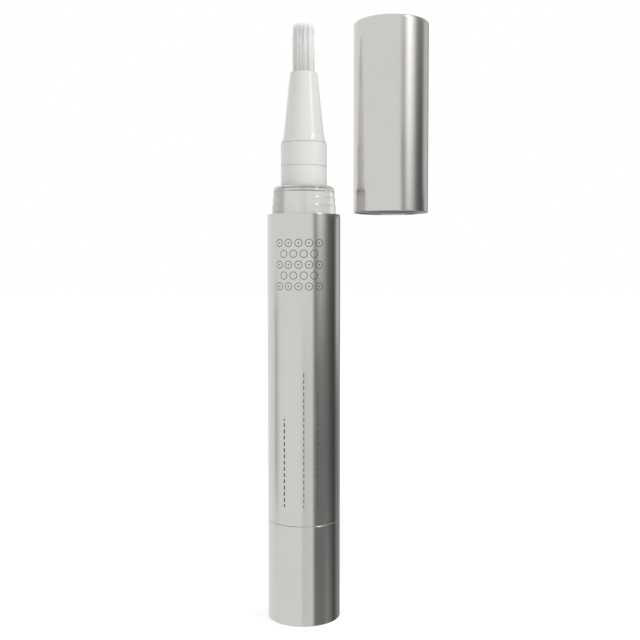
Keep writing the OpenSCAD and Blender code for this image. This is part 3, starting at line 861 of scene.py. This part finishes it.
@dataclass
class Sleeve:
    """A drawn metal sleeve: the barrel's, the knob's or the cap's."""

    name: str
    radius: float
    low: float
    high: float
    ends: Ends
    centre_x: float = 0.0
    wall: float = 0.4
    round_edge: float = 0.3
    rim_bevel: float = 0.12
    bore_bevel: float = 0.05
    round_steps: int = 8
    rim_steps: int = 4
    bore_steps: int = 2
    # Distances of the supporting rings from the rounded edge, on the flat and on the wall
    flat_margin: float = 0.1
    wall_margin: float = 0.08
    # How far from a circle its edges may be
    slack: float = 0.05
    facets: int = 160

    def build(self) -> Piece:
        """Models the sleeve from a cylinder.

        Returns:
            The finished sleeve.
        """
        piece = start_piece(self.radius, self.low, self.high, self.facets, self.centre_x)
        if self.ends is Ends.OPEN:
            self._bore_through(piece)
        else:
            self._bore_blind(piece)
        self._support_edges()
        self._break_edges(piece)
        bpy.ops.mesh.select_all(action="SELECT")
        bpy.ops.mesh.normals_make_consistent(inside=False)
        return finish_piece(piece, self.name, angle=30)

    def _face_at(self, z: float) -> Callable[[Vector], bool]:
        """Returns a test for places at a height."""
        return lambda p: abs(p.z - z * MM) < NEAR

    def _edge_at(self, radius: float, z: float) -> Callable[[Vector], bool]:
        """Makes a test for places on a circle round the axis.

        Args:
            radius: The circle's radius.
            z: Its height.

        Returns:
            The test.
        """

        def test(p: Vector) -> bool:
            """Is this place on the circle?"""
            away = math.hypot(p.x - self.centre_x * MM, p.y)
            return abs(p.z - z * MM) < NEAR and abs(away - radius * MM) < self.slack * MM

        return test

    def _bore_through(self, piece: Piece) -> None:
        """Opens both ends and joins them by an inner wall.

        Args:
            piece: The cylinder, in edit mode.
        """
        bottom, top = self._face_at(self.low), self._face_at(self.high)
        choose(piece, "FACE", lambda p: bottom(p) or top(p))
        bpy.ops.mesh.inset(thickness=self.wall * MM)
        bpy.ops.mesh.bridge_edge_loops()

    def _bore_blind(self, piece: Piece) -> None:
        """Sinks the bore from the open end to a wall's thickness from the closed one.

        Args:
            piece: The cylinder, in edit mode.
        """
        mouth, closed = self.high, self.low
        if self.ends is Ends.TOP:
            mouth, closed = closed, mouth
        depth = (self.high - self.low - self.wall) * self.ends.value
        choose(piece, "FACE", self._face_at(mouth))
        bpy.ops.mesh.inset(thickness=self.wall * MM)
        bpy.ops.mesh.extrude_region_move(TRANSFORM_OT_translate={"value": (0, 0, depth * MM)})
        # A ring inside the rounded edge keeps the flat end flat
        choose(piece, "FACE", self._face_at(closed))
        bpy.ops.mesh.inset(thickness=(self.round_edge + self.flat_margin) * MM)

    def _support_edges(self) -> None:
        """Cuts a ring near each end, so that rounded edges don't shade the long wall."""
        for z, side, end in ((self.low, 1, Ends.BOTTOM), (self.high, -1, Ends.TOP)):
            gap = (self.round_edge if self.ends is end else self.rim_bevel) + self.wall_margin
            bpy.ops.mesh.select_all(action="SELECT")
            bpy.ops.mesh.bisect(plane_co=(0, 0, (z + side * gap) * MM), plane_no=(0, 0, 1))

    def _break_edges(self, piece: Piece) -> None:
        """Bevels the cut rims and rounds the closed end.

        Args:
            piece: The bored cylinder, in edit mode.
        """
        for z, end in ((self.low, Ends.BOTTOM), (self.high, Ends.TOP)):
            closed = self.ends is end
            outer = (self.radius, self.rim_bevel, self.rim_steps)
            bore = (self.radius - self.wall, self.bore_bevel, self.bore_steps)
            rounded = (self.radius, self.round_edge, self.round_steps)
            for radius, size, steps in (rounded,) if closed else (outer, bore):
                choose(piece, "EDGE", self._edge_at(radius, z))
                bpy.ops.mesh.bevel(offset=size * MM, segments=steps, affect="EDGES")


@dataclass
class BarrelAssembly:
    """The barrel's sleeve, the reservoir with its clear collar, and the oil in it."""

    finishes: Finishes
    radius: float = 8.0
    seam_z: float = 21.83
    rim_z: float = 88.9
    reservoir_low: float = 47.0
    bore_r: float = 6.3
    tube_r: float = 7.55
    sink: float = 0.35
    collar_r: float = 7.05
    collar_top_r: float = 6.6
    collar_top: float = 95.0
    shoulder: float = 0.7
    neck_bore_r: float = 5.07
    neck_low: float = 87.5
    bead_w: float = 0.8
    bead_h: float = 0.08
    bead_pitch: float = 1.68
    beads: int = 3
    bead_steps: int = 12
    oil_low: float = 54.05
    oil_high: float = 87.45
    oil_r: float = 6.25
    # Share of the oil that is left over the piston at the end of its travel
    oil_left: float = 0.012

    def bead_z(self, n: int) -> float:
        """Returns the middle height of bead n, counted from below."""
        top = self.collar_top - self.shoulder - self.bead_w / 2
        return top - (self.beads - 1 - n) * self.bead_pitch

    def side(self, z: float) -> float:
        """Returns the collar's radius at a height, without its beads."""
        share = (z - self.rim_z) / (self.collar_top - self.shoulder - self.rim_z)
        return self.collar_r + (self.collar_top_r - self.collar_r) * share

    def collar_outline(self) -> list[Point]:
        """Draws the reservoir tube, with the beads on its collar.

        Returns:
            Its outline.
        """
        step_z = self.rim_z - self.sink
        points = [(self.bore_r, self.reservoir_low), (self.tube_r, self.reservoir_low)]
        points += [(self.tube_r, step_z), (self.collar_r, step_z)]
        for n in range(self.beads):
            for i in range(self.bead_steps + 1):
                share = i / self.bead_steps
                z = self.bead_z(n) + self.bead_w * (share - 0.5)
                swell = self.bead_h * math.sin(math.pi * share) ** 2
                points.append((self.side(z) + swell, z))
        inner_r = self.collar_top_r - self.shoulder
        points += arc(inner_r, self.collar_top - self.shoulder, self.shoulder, 0, 90)
        points += [(self.neck_bore_r, self.collar_top), (self.neck_bore_r, self.neck_low)]
        return [*points, (self.bore_r, self.neck_low)]

    def build(self) -> None:
        """Models the barrel's pieces and dresses them."""
        sleeve = Sleeve("barrel_tube", self.radius, self.seam_z, self.rim_z, Ends.OPEN).build()
        metal = self.finishes.barrel_metal
        dress(sleeve, metal, Slot.ALUMINIUM, Body.BARREL, "barrel_sleeve")
        collar = turned("clear_reservoir", self.collar_outline())
        dress(collar, self.finishes.clear, Slot.CLEAR, Body.BARREL, "reservoir_tube")
        wet_bore(collar, self.finishes.wetted, self.neck_bore_r)
        oil = turned("oil_column", ring(0, self.oil_r, self.oil_low, self.oil_high))
        dress(oil, self.finishes.oil, Slot.OIL, Body.BARREL, "serum")
        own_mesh(oil)


@dataclass
class NeckAssembly:
    """The neck plug with its sealing ring, the two white rings and the white nozzle."""

    finishes: Finishes
    ring_r: float = 5.02
    ring_bore_r: float = 3.65
    ring_low: float = 95.0
    ring_split: float = 99.4
    ring_high: float = 104.4
    ring_bevel: float = 0.08
    bevel_steps: int = 4
    # Fine shadow gaps that are left over the lower and the upper ring, and their depth
    lower_gap: float = 0.05
    upper_gap: float = 0.09
    gap_depth: float = 0.3
    plug_low: float = 87.5
    plug_bore_r: float = 0.702
    # A hair between the plug and the lower ring, so that their faces don't lie in one plane
    plug_gap: float = 0.02
    spigot_r: float = 3.6
    spigot_top: float = 108.0
    socket_gap: float = 0.05
    seal_z: float = 88.35
    # How far the sealing ring stands proud of the plug
    seal_proud: float = 0.025
    seal_facets: int = 24
    groove_r: float = 4.17
    groove_half: float = 0.475
    seal_t: float = 0.85
    nozzle_top: float = 119.6
    cone_foot_r: float = 4.56
    tip_r: float = 2.99
    channel_r: float = 2.43
    flare_h: float = 1.9
    flare_w: float = 0.38
    flare_power: float = 2.2
    flare_steps: int = 14
    tip_round: float = 0.18
    tip_steps: int = 6

    def plug_outline(self) -> list[Point]:
        """Draws the plug, with the groove of its sealing ring.

        Returns:
            Its outline.
        """
        seal_low, seal_high = self.seal_z - self.groove_half, self.seal_z + self.groove_half
        top = self.ring_low - self.plug_gap
        points = [(self.plug_bore_r, self.plug_low), (self.ring_r, self.plug_low)]
        points += [(self.ring_r, seal_low), (self.groove_r, seal_low)]
        points += [(self.groove_r, seal_high), (self.ring_r, seal_high)]
        points += [(self.ring_r, top), (self.spigot_r, top)]
        return [*points, (self.spigot_r, self.spigot_top), (self.plug_bore_r, self.spigot_top)]

    def ring_outline(self, low: float, high: float, gap: float) -> list[Point]:
        """Draws a neck ring, with rounded edges and a shadow gap over it.

        Args:
            low: Height of its foot.
            high: Height of its top.
            gap: Height of the shadow gap.

        Returns:
            Its outline.
        """
        b, steps = self.ring_bevel, self.bevel_steps
        shelf, step_r = high - gap, self.ring_r - self.gap_depth
        points = [(self.ring_bore_r, low), *arc(self.ring_r - b, low + b, b, -90, 0, steps)]
        points += arc(self.ring_r - b, shelf - b, b, 0, 90, steps)
        return [*points, (step_r, shelf), (step_r, high), (self.ring_bore_r, high)]

    def cone(self, z: float) -> float:
        """Returns the nozzle's radius at a height, without its flare."""
        share = (z - self.ring_high) / (self.nozzle_top - self.ring_high)
        return self.cone_foot_r + (self.tip_r - self.cone_foot_r) * share

    def nozzle_outline(self) -> list[Point]:
        """Draws the nozzle, with its flare and its rounded tip.

        Returns:
            Its outline.
        """
        points = [(self.ring_bore_r, self.ring_high)]
        for i in range(self.flare_steps + 1):
            share = i / self.flare_steps
            z = self.ring_high + self.flare_h * share
            points.append((self.cone(z) + self.flare_w * (1 - share) ** self.flare_power, z))
        b, z = self.tip_round, self.nozzle_top - self.tip_round
        points += arc(self.cone(z) - b, z, b, 0, 90, self.tip_steps)
        socket = self.spigot_top + self.socket_gap
        points += [(self.channel_r, self.nozzle_top), (self.channel_r, socket)]
        return [*points, (self.ring_bore_r, socket)]

    def build(self) -> None:
        """Models the neck's pieces and dresses them."""
        finishes = self.finishes
        plug = turned("neck_plug_body", self.plug_outline())
        dress(plug, finishes.plug, Slot.NATURAL, Body.BARREL, "neck_plug")
        wet_bore(plug, finishes.wetted, self.plug_bore_r)
        thick, steps = self.seal_t / 2, self.seal_facets - 1
        middle_r = self.ring_r + self.seal_proud - thick
        round_ring = arc(middle_r, self.seal_z, thick, 0, 360 * steps / self.seal_facets, steps)
        seal = turned("plug_seal", round_ring)
        dress(seal, finishes.rubber, Slot.RUBBER, Body.BARREL, "plug_o_ring")
        lower = self.ring_outline(self.ring_low, self.ring_split, self.lower_gap)
        upper = self.ring_outline(self.ring_split, self.ring_high, self.upper_gap)
        for name, outline, node in (
            ("lower_ring", lower, "lower_neck_ring"),
            ("upper_ring", upper, "upper_neck_ring"),
            ("tapered_nozzle", self.nozzle_outline(), "nozzle"),
        ):
            dress(turned(name, outline), finishes.white, Slot.WHITE, Body.BARREL, node)


@dataclass
class BrushAssembly:
    """The flat cut brush: fine tapered bristles on a fused root, round the feed tube."""

    finishes: Finishes
    bundle_r: float = 2.4
    hollow_r: float = 0.78
    root_r: float = 2.379
    root_bore_r: float = 0.702
    root_low: float = 111.5
    root_high: float = 112.6
    # How deep the bristles stand in the root
    root_sink: float = 0.02
    strand_r: float = 0.066
    spacing: float = 0.15
    top: float = 130.1
    # Length of the taper, and for each of its steps a share of that and of the radius
    taper: float = 3.2
    taper_steps: tuple[Point, ...] = ((0.45, 0.82), (0.35, 0.68), (0.2, 0.55))
    # How much shorter the shortest is, and how few are so: more at a higher power
    uneven: float = 2.6
    uneven_power: float = 1.5
    # Most that a bristle leans, in degrees
    lean: float = 0.3
    feed_r: float = 0.652
    feed_bore_r: float = 0.352
    feed_low: float = 87.5
    feed_high: float = 121.1
    seed: int = 7

    def places(self) -> list[Point]:
        """Spreads the bristles over the bundle, on a staggered grid.

        Returns:
            Their places across the pen.
        """
        found = []
        row_gap = self.spacing * math.sqrt(3) / 2
        rows = int(self.bundle_r / row_gap) + 1
        for row in range(-rows, rows + 1):
            for column in range(-rows - 1, rows + 2):
                x, y = (column + 0.5 * (row % 2)) * self.spacing, row * row_gap
                if self.hollow_r < math.hypot(x, y) < self.bundle_r - self.strand_r:
                    found.append((x, y))
        return found

    def strand(self) -> Piece:
        """Models one bristle, which tapers to its tip.

        Returns:
            The bristle.
        """
        length = self.top - self.root_high
        piece = start_piece(self.strand_r, 0, length - self.taper, sides=6)
        z = length - self.taper
        for rise, narrow in self.taper_steps:
            choose(piece, "FACE", lambda p, z=z: abs(p.z - z * MM) < NEAR)
            z += rise * self.taper
            bpy.ops.mesh.extrude_region_move(
                TRANSFORM_OT_translate={"value": (0, 0, rise * self.taper * MM)}
            )
            bpy.ops.transform.resize(
                value=(narrow, narrow, 1), center_override=(0, 0, z * MM)
            )
        return finish_piece(piece, "bristle", angle=50)

    def build(self) -> None:
        """Models the brush and dresses it."""
        chance = random.Random(self.seed)
        strand = self.strand()
        copies = []
        for x, y in self.places():
            copy = strand.copy()
            copy.data = strand.data.copy()
            bpy.context.scene.collection.objects.link(copy)
            missing = chance.random() ** self.uneven_power * self.uneven
            shorter = 1 - missing / (self.top - self.root_high)
            copy.location = (x * MM, y * MM, (self.root_high - self.root_sink) * MM)
            copy.scale = (1, 1, shorter)
            lean = [math.radians(chance.uniform(-self.lean, self.lean)) for _ in range(2)]
            copy.rotation_euler = (*lean, chance.uniform(0, 1))
            copies.append(copy)
        bpy.data.objects.remove(strand)
        outline = ring(self.root_bore_r, self.root_r, self.root_low, self.root_high)
        root = turned("bristle_root", outline, steps=64)
        for copy in copies:
            copy.select_set(True)
        root.select_set(True)
        bpy.context.view_layer.objects.active = root
        bpy.ops.object.join()
        tuft = finish_piece(root, "bristle_tuft", angle=50)
        dress(tuft, self.finishes.nylon, Slot.BRISTLE, Body.BARREL, "bristles")
        outline = ring(self.feed_bore_r, self.feed_r, self.feed_low, self.feed_high)
        tube = turned("feed_pipe", outline, steps=48)
        dress(tube, self.finishes.feed, Slot.NATURAL, Body.BARREL, "feed_tube")
        dress_nodes(self.finishes.natural, "bristle_retainer")


@dataclass
class KnobAssembly:
    """The turning knob and the screw drive behind it."""

    finishes: Finishes
    radius: float = 8.0
    high: float = 21.8
    foot_round: float = 0.15

    def build(self) -> None:
        """Models the knob's sleeve and dresses the drive's CAD nodes."""
        finishes = self.finishes
        sizes = (self.radius, 0, self.high)
        sleeve = Sleeve("knob_cup", *sizes, Ends.BOTTOM, round_edge=self.foot_round).build()
        dress(sleeve, finishes.barrel_metal, Slot.ALUMINIUM, Body.KNOB, "knob_sleeve")
        dress_nodes(finishes.natural, "knob_core")
        dress_nodes(finishes.drive, "drive_stem", "click_pawls", "piston")
        dress_nodes(finishes.drive, "drive_housing", "screw_nut", "ratchet_ring")
        dress_nodes(finishes.screw, "screw_rod")
        dress_nodes(finishes.rubber, "piston_o_rings")


@dataclass
class CapAssembly:
    """The cap, set aside: its metal shell, its liner and its sealing washer."""

    finishes: Finishes
    centre_x: float = 19.0
    radius: float = 8.15
    low: float = 89.35
    high: float = 130.25
    round_edge: float = 0.6
    liner_r: float = 7.7
    mouth_r: float = 7.2
    chamber_r: float = 6.4
    recess: float = 0.3
    lead_in: float = 0.12
    liner_top: float = 129.8
    liner_corner: float = 0.5
    liner_end: float = 0.35
    washer_low: float = 95.55
    washer_high: float = 96.75
    washer_r: float = 6.85
    washer_bore_r: float = 5.35
    washer_round: float = 0.15
    washer_steps: int = 4
    washer_gap: float = 0.05

    def liner_outline(self) -> list[Point]:
        """Draws the liner, with a small lead-in at its mouth.

        Returns:
            Its outline.
        """
        mouth_z = self.low + self.recess
        inside = self.liner_top - self.liner_end
        seat_r = self.washer_r + self.washer_gap
        points = [(0, inside), (self.chamber_r, inside)]
        points += [(self.chamber_r, self.washer_high), (seat_r, self.washer_high)]
        points += [(seat_r, self.washer_low), (self.mouth_r, self.washer_low)]
        points += [(self.mouth_r, mouth_z + self.lead_in), (self.mouth_r + self.lead_in, mouth_z)]
        points += [(self.liner_r, mouth_z), (self.liner_r, self.liner_top - self.liner_corner)]
        return [*points, (self.liner_r - self.liner_corner, self.liner_top), (0, self.liner_top)]

    def washer_outline(self) -> list[Point]:
        """Draws the washer, with softly rounded edges.

        Returns:
            Its outline.
        """
        b = self.washer_round
        low, high = self.washer_low + b, self.washer_high - b
        outer, inner = self.washer_r - b, self.washer_bore_r + b
        points = []
        for i, (r, z) in enumerate(((outer, low), (outer, high), (inner, high), (inner, low))):
            points += arc(r, z, b, 90 * (i - 1), 90 * i, self.washer_steps)
        return points

    def build(self) -> None:
        """Models the cap's pieces and dresses them."""
        finishes = self.finishes
        sizes = (self.radius, self.low, self.high, Ends.TOP, self.centre_x)
        shell = Sleeve("cap_cup", *sizes, round_edge=self.round_edge).build()
        dress(shell, finishes.cap_metal, Slot.ALUMINIUM, Body.CAP, "cap_shell")
        liner = turned("cap_lining", self.liner_outline(), self.centre_x)
        dress(liner, finishes.liner, Slot.NATURAL, Body.CAP, "cap_liner")
        washer = turned("cap_washer", self.washer_outline(), self.centre_x)
        dress(washer, finishes.foam, Slot.SOFT_SEAL, Body.CAP, "cap_seal")


# ------------------------------------------------------------------------- studio


# Each card's light is worked out from the direction in which a point of it lies, in
# degrees to the right of the camera's, and from its height in metres.
#
# White at the front, then a grey flag with a tall soft light and a thin bright tube before
# it, then a pale wall at the back right
SIDE_LIGHT: tuple[Step, ...] = (
    ("near", SMOOTH, "direction", -8.0, -3.0, 0.0, 0.16),
    ("far", LINEAR, "direction", 2.0, 24.0, 1.0, 0.65),
    ("under", SMOOTH, "height", -0.03, 0.04, 1.0, 0.0),
    ("dimmed", "MULTIPLY", "near", "under"),
    ("dimmed", "MULTIPLY", "dimmed", "far"),
    ("white", "SUBTRACT", 1.0, "dimmed"),
    ("lead", SMOOTH, "height", 0.14, 0.17, 0.0, 10.0),
    ("edge_place", "MULTIPLY_ADD", "lead", 0.36, "direction"),
    ("edge", SMOOTH, "edge_place", 26.2, 36.0, 0.0, 1.0),
    ("flag", SMOOTH, "direction", 70.0, 106.0, 0.22, 0.085),
    ("flag_lift", SMOOTH, "height", -0.02, 0.13, 0.0, 0.035),
    ("flag_top", SMOOTH, "height", 0.2, 0.4, 0.0, 0.22),
    ("flag", "ADD", "flag", "flag_lift"),
    ("flag", "ADD", "flag", "flag_top"),
    ("low_on", SMOOTH, "direction", 66.0, 78.0, 0.0, 1.0),
    ("low_off", SMOOTH, "direction", 92.0, 112.0, 1.0, 0.0),
    ("low", SMOOTH, "height", -0.32, -0.12, 0.12, 0.0),
    ("low", "MULTIPLY", "low", "low_on"),
    ("flag", "MULTIPLY_ADD", "low", "low_off", "flag"),
    ("box_on", SMOOTH, "direction", 36.0, 52.0, 0.26, 1.0),
    ("box_off", SMOOTH, "direction", 52.0, 86.0, 1.0, 0.0),
    ("box", "MULTIPLY", "box_on", "box_off"),
    ("climb", SMOOTH, "height", -0.08, 0.4, 0.0, 1.5),
    ("climb", "MINIMUM", "climb", 1.3),
    ("soft_light", "MULTIPLY", "box", "climb"),
    ("tube_on", SMOOTH, "direction", 49.0, 54.0, 0.0, 1.0),
    ("tube_off", SMOOTH, "direction", 60.0, 65.0, 1.0, 0.0),
    ("tube", "MULTIPLY", "tube_on", "tube_off"),
    ("tube_foot", SMOOTH, "height", 0.375, 0.41, 0.0, 3.3),
    ("tube_light", "MULTIPLY", "tube", "tube_foot"),
    ("tube_head", SMOOTH, "height", 0.48, 0.58, 1.0, 2.2),
    ("tube_light", "MULTIPLY", "tube_light", "tube_head"),
    ("wall_place", "ADD", "direction", "lead"),
    ("wall_on", SMOOTH, "wall_place", 110.5, 131.5, 0.0, 1.0),
    ("wall_climb", SMOOTH, "height", -0.07, 0.05, 0.27, 0.68),
    ("behind", SMOOTH, "direction", 136.0, 154.0, 0.0, 1.0),
    ("darker", "SUBTRACT", 0.38, "wall_climb"),
    ("wall_tone", "MULTIPLY_ADD", "darker", "behind", "wall_climb"),
    ("wall", "MULTIPLY", "wall_on", "wall_tone"),
    ("flag_left", "SUBTRACT", 1.0, "wall_on"),
    ("flag", "MULTIPLY", "flag", "flag_left"),
    ("sum", "ADD", "flag", "soft_light"),
    ("sum", "ADD", "sum", "tube_light"),
    ("sum", "ADD", "sum", "wall"),
    ("shaded", "MULTIPLY", "sum", "edge"),
    ("front_left", "SUBTRACT", 1.0, "edge"),
    ("level", "MULTIPLY_ADD", "white", "front_left", "shaded"),
)
# The last steps of a grey card, which is white where it doesn't shade
SHADED: tuple[Step, ...] = (
    ("dark", "MULTIPLY", "on", "off"),
    ("dark", "MULTIPLY", "dark", "deep"),
    ("level", "SUBTRACT", 1.0, "dark"),
)
STAND_LIGHT: tuple[Step, ...] = (
    ("on", SMOOTH, "direction", -108.0, -100.0, 0.0, 0.38),
    ("off", SMOOTH, "direction", -99.0, -77.0, 1.0, 0.0),
    ("foot", SMOOTH, "height", -0.2, -0.14, 0.0, 1.0),
    ("head", SMOOTH, "height", 0.03, 0.08, 1.0, 0.0),
    ("deep", "MULTIPLY", "foot", "head"),
    *SHADED,
)
BACK_LIGHT: tuple[Step, ...] = (
    ("on", SMOOTH, "direction", 134.0, 144.0, 0.0, 1.0),
    ("off", SMOOTH, "direction", 169.0, 173.0, 1.0, 0.0),
    ("deep", SMOOTH, "height", 0.13, 0.18, 0.6, 0.42),
    *SHADED,
)


@dataclass(frozen=True)
class CurvedCard:
    """A tall card that curves round the pen and shines with its own light.

    It starts and ends at a direction in degrees, and its heights and its radius are in
    metres.
    """

    name: str
    start: float
    end: float
    low: float
    high: float
    steps: tuple[Step, ...]
    radius: float = 0.8
    facets: int = 360
    seen_through: bool = False

    def direction(self, p: Vector) -> float:
        """Returns the direction in which a point lies."""
        return math.degrees(math.atan2(p.x, -p.y))

    def build(self) -> None:
        """Cuts the card out of a tube and gives it its light."""
        sizes = (value / MM for value in (self.radius, self.low, self.high))
        card = start_piece(*sizes, self.facets, fill="NOTHING")
        choose(card, "FACE", lambda p: not self.start < self.direction(p) < self.end)
        bpy.ops.mesh.delete(type="FACE")
        finish_piece(card, self.name)
        material, tree, output = new_material(self.name + "_light")
        place = add_node(tree, PLACE).outputs["Object"]
        axes = add_node(tree, "ShaderNodeSeparateXYZ", {0: place}).outputs
        given = {"x": axes["X"], "y": axes["Y"], "height": axes["Z"]}
        compass: tuple[Step, ...] = (
            ("front", "MULTIPLY", "y", -1.0),
            ("turn", "ARCTAN2", "x", "front"),
            ("direction", "DEGREES", "turn"),
        )
        level = add_steps(tree, given, compass + self.steps)["level"]
        glow = add_node(tree, "ShaderNodeEmission", {"Strength": level})
        tree.links.new(glow.outputs[0], output.inputs["Surface"])
        card.data.materials.append(material)
        # Only seen in the metal and on gloss, or only through what is clear: it neither
        # lights nor shades the pen
        card.visible_camera = card.visible_diffuse = card.visible_shadow = False
        card.visible_glossy = not self.seen_through
        card.visible_transmission = self.seen_through


@dataclass
class Studio:
    """A white sweep, two soft lamps at the right, the cards and the camera."""

    surround_light: float = 0.7
    floor_size: float = 6.0
    # How far the floor lies under the knob, so that their faces don't lie in one plane
    floor_drop: float = 0.02
    floor_colour: str = "#F2F2F0"
    floor_lift: float = 0.42
    # Degrees above the height that the lamps aim at
    lamp_rise: float = 20.0
    lamp_aim: float = 80.0
    lamp_distance: float = 0.6
    lamp_size: float = 0.22
    # Name, direction and power of each lamp
    lamps: tuple[tuple[str, float, float], ...] = (
        ("front_lamp", 57.0, 1.0),
        ("back_lamp", 124.0, 1.62),
    )
    cards: tuple[CurvedCard, ...] = (
        CurvedCard("side_card", -10, 180, -0.5, 1.0, SIDE_LIGHT),
        # A grey stand at the left, which draws a fine line down the barrel's left side
        CurvedCard("left_stand", -112, -74, -0.25, 0.1, STAND_LIGHT),
        # A grey card behind, darker below, which shades the clear collar's left side
        CurvedCard("back_card", 132, 176, -0.2, 0.5, BACK_LIGHT, seen_through=True),
    )
    # The camera's place in millimetres, its tilt in degrees, its lens and sensor, and the
    # nearest and the farthest that it shows, in metres
    camera_place: tuple[float, float, float] = (3.555, -203.38, 76.15)
    camera_tilt: float = 87.1
    camera_lens: float = 51.96
    camera_sensor: float = 36.0
    camera_clip: tuple[float, float] = (0.01, 50.0)

    def surround(self) -> None:
        """Makes a plain surround, white where it is seen through, behind or in the metal."""
        world = bpy.data.worlds.new("white_surround")
        bpy.context.scene.world = world
        world.use_nodes = True
        tree = world.node_tree
        tree.nodes.clear()
        path = add_node(tree, "ShaderNodeLightPath").outputs
        kinds = ("Camera", "Glossy", "Transmission")
        given = {kind: path[f"Is {kind} Ray"] for kind in kinds}
        steps = (
            ("shown", "MAXIMUM", "Camera", "Glossy"),
            ("shown", "MAXIMUM", "shown", "Transmission"),
            ("level", LINEAR, "shown", 0.0, 1.0, self.surround_light, 1.0),
        )
        level = add_steps(tree, given, steps)["level"]
        white = {"Color": (1, 1, 1, 1), "Strength": level}
        surround = add_node(tree, "ShaderNodeBackground", white)
        output = add_node(tree, "ShaderNodeOutputWorld")
        tree.links.new(surround.outputs[0], output.inputs["Surface"])

    def floor(self) -> None:
        """Lays the pale floor, which keeps the pen's soft shadow."""
        deselect_all()
        low = (0, 0, -self.floor_drop * MM)
        bpy.ops.mesh.primitive_plane_add(size=self.floor_size, location=low)
        floor = finish_piece(bpy.context.active_object, "pale_floor")
        material, tree, output = new_material("matt_white_sweep")
        seen = add_node(tree, "ShaderNodeLightPath").outputs["Is Camera Ray"]
        paint = add_node(tree, "ShaderNodeBsdfDiffuse", {"Color": linear(self.floor_colour)})
        lift = add_node(tree, MATH, {0: seen, 1: self.floor_lift}, operation="MULTIPLY")
        glow = add_node(tree, "ShaderNodeEmission", {"Strength": lift.outputs[0]})
        both = add_node(tree, "ShaderNodeAddShader", {0: paint.outputs[0], 1: glow.outputs[0]})
        tree.links.new(both.outputs[0], output.inputs["Surface"])
        floor.data.materials.append(material)
        # The metal shows the white surround in its place
        floor.visible_glossy = False

    def lamp(self, name: str, direction: float, power: float) -> None:
        """Hangs a soft lamp, which no metal and no gloss shows.

        Args:
            name: Its name.
            direction: Where it stands, in degrees to the right of the camera.
            power: Its power in watts.
        """
        data = bpy.data.lights.new(name, "AREA")
        data.size, data.energy = self.lamp_size, power
        lamp = bpy.data.objects.new(name, data)
        turn, rise = math.radians(direction), math.radians(self.lamp_rise)
        flat = self.lamp_distance * math.cos(rise)
        away = Vector((flat * math.sin(turn), -flat * math.cos(turn), 0))
        away.z = self.lamp_distance * math.sin(rise)
        lamp.location = away + Vector((0, 0, self.lamp_aim * MM))
        lamp.rotation_euler = away.to_track_quat("Z", "Y").to_euler()
        lamp.visible_glossy = lamp.visible_transmission = False
        bpy.context.scene.collection.objects.link(lamp)

    def camera(self) -> None:
        """Stands the camera where the photograph was taken from."""
        data = bpy.data.cameras.new("front_camera")
        data.lens, data.sensor_width = self.camera_lens, self.camera_sensor
        data.clip_start, data.clip_end = self.camera_clip
        camera = bpy.data.objects.new("front_camera", data)
        camera.location = [value * MM for value in self.camera_place]
        camera.rotation_euler = (math.radians(self.camera_tilt), 0, 0)
        bpy.context.scene.collection.objects.link(camera)
        bpy.context.scene.camera = camera

    def build(self) -> None:
        """Sets up the surround, the floor, the lamps, the cards and the camera."""
        bpy.context.scene.view_settings.view_transform = "Standard"
        self.surround()
        self.floor()
        for lamp in self.lamps:
            self.lamp(*lamp)
        for card in self.cards:
            card.build()
        self.camera()


def main() -> None:
    """Builds the studio and then each sub-assembly in turn."""
    logging.basicConfig(level=logging.INFO, format="%(name)s: %(message)s")
    Studio().build()
    finishes = Finishes()
    for part in (BarrelAssembly, NeckAssembly, BrushAssembly, KnobAssembly, CapAssembly):
        log.info("building %s", part.__name__)
        part(finishes).build()


if __name__ == "__main__":
    main()
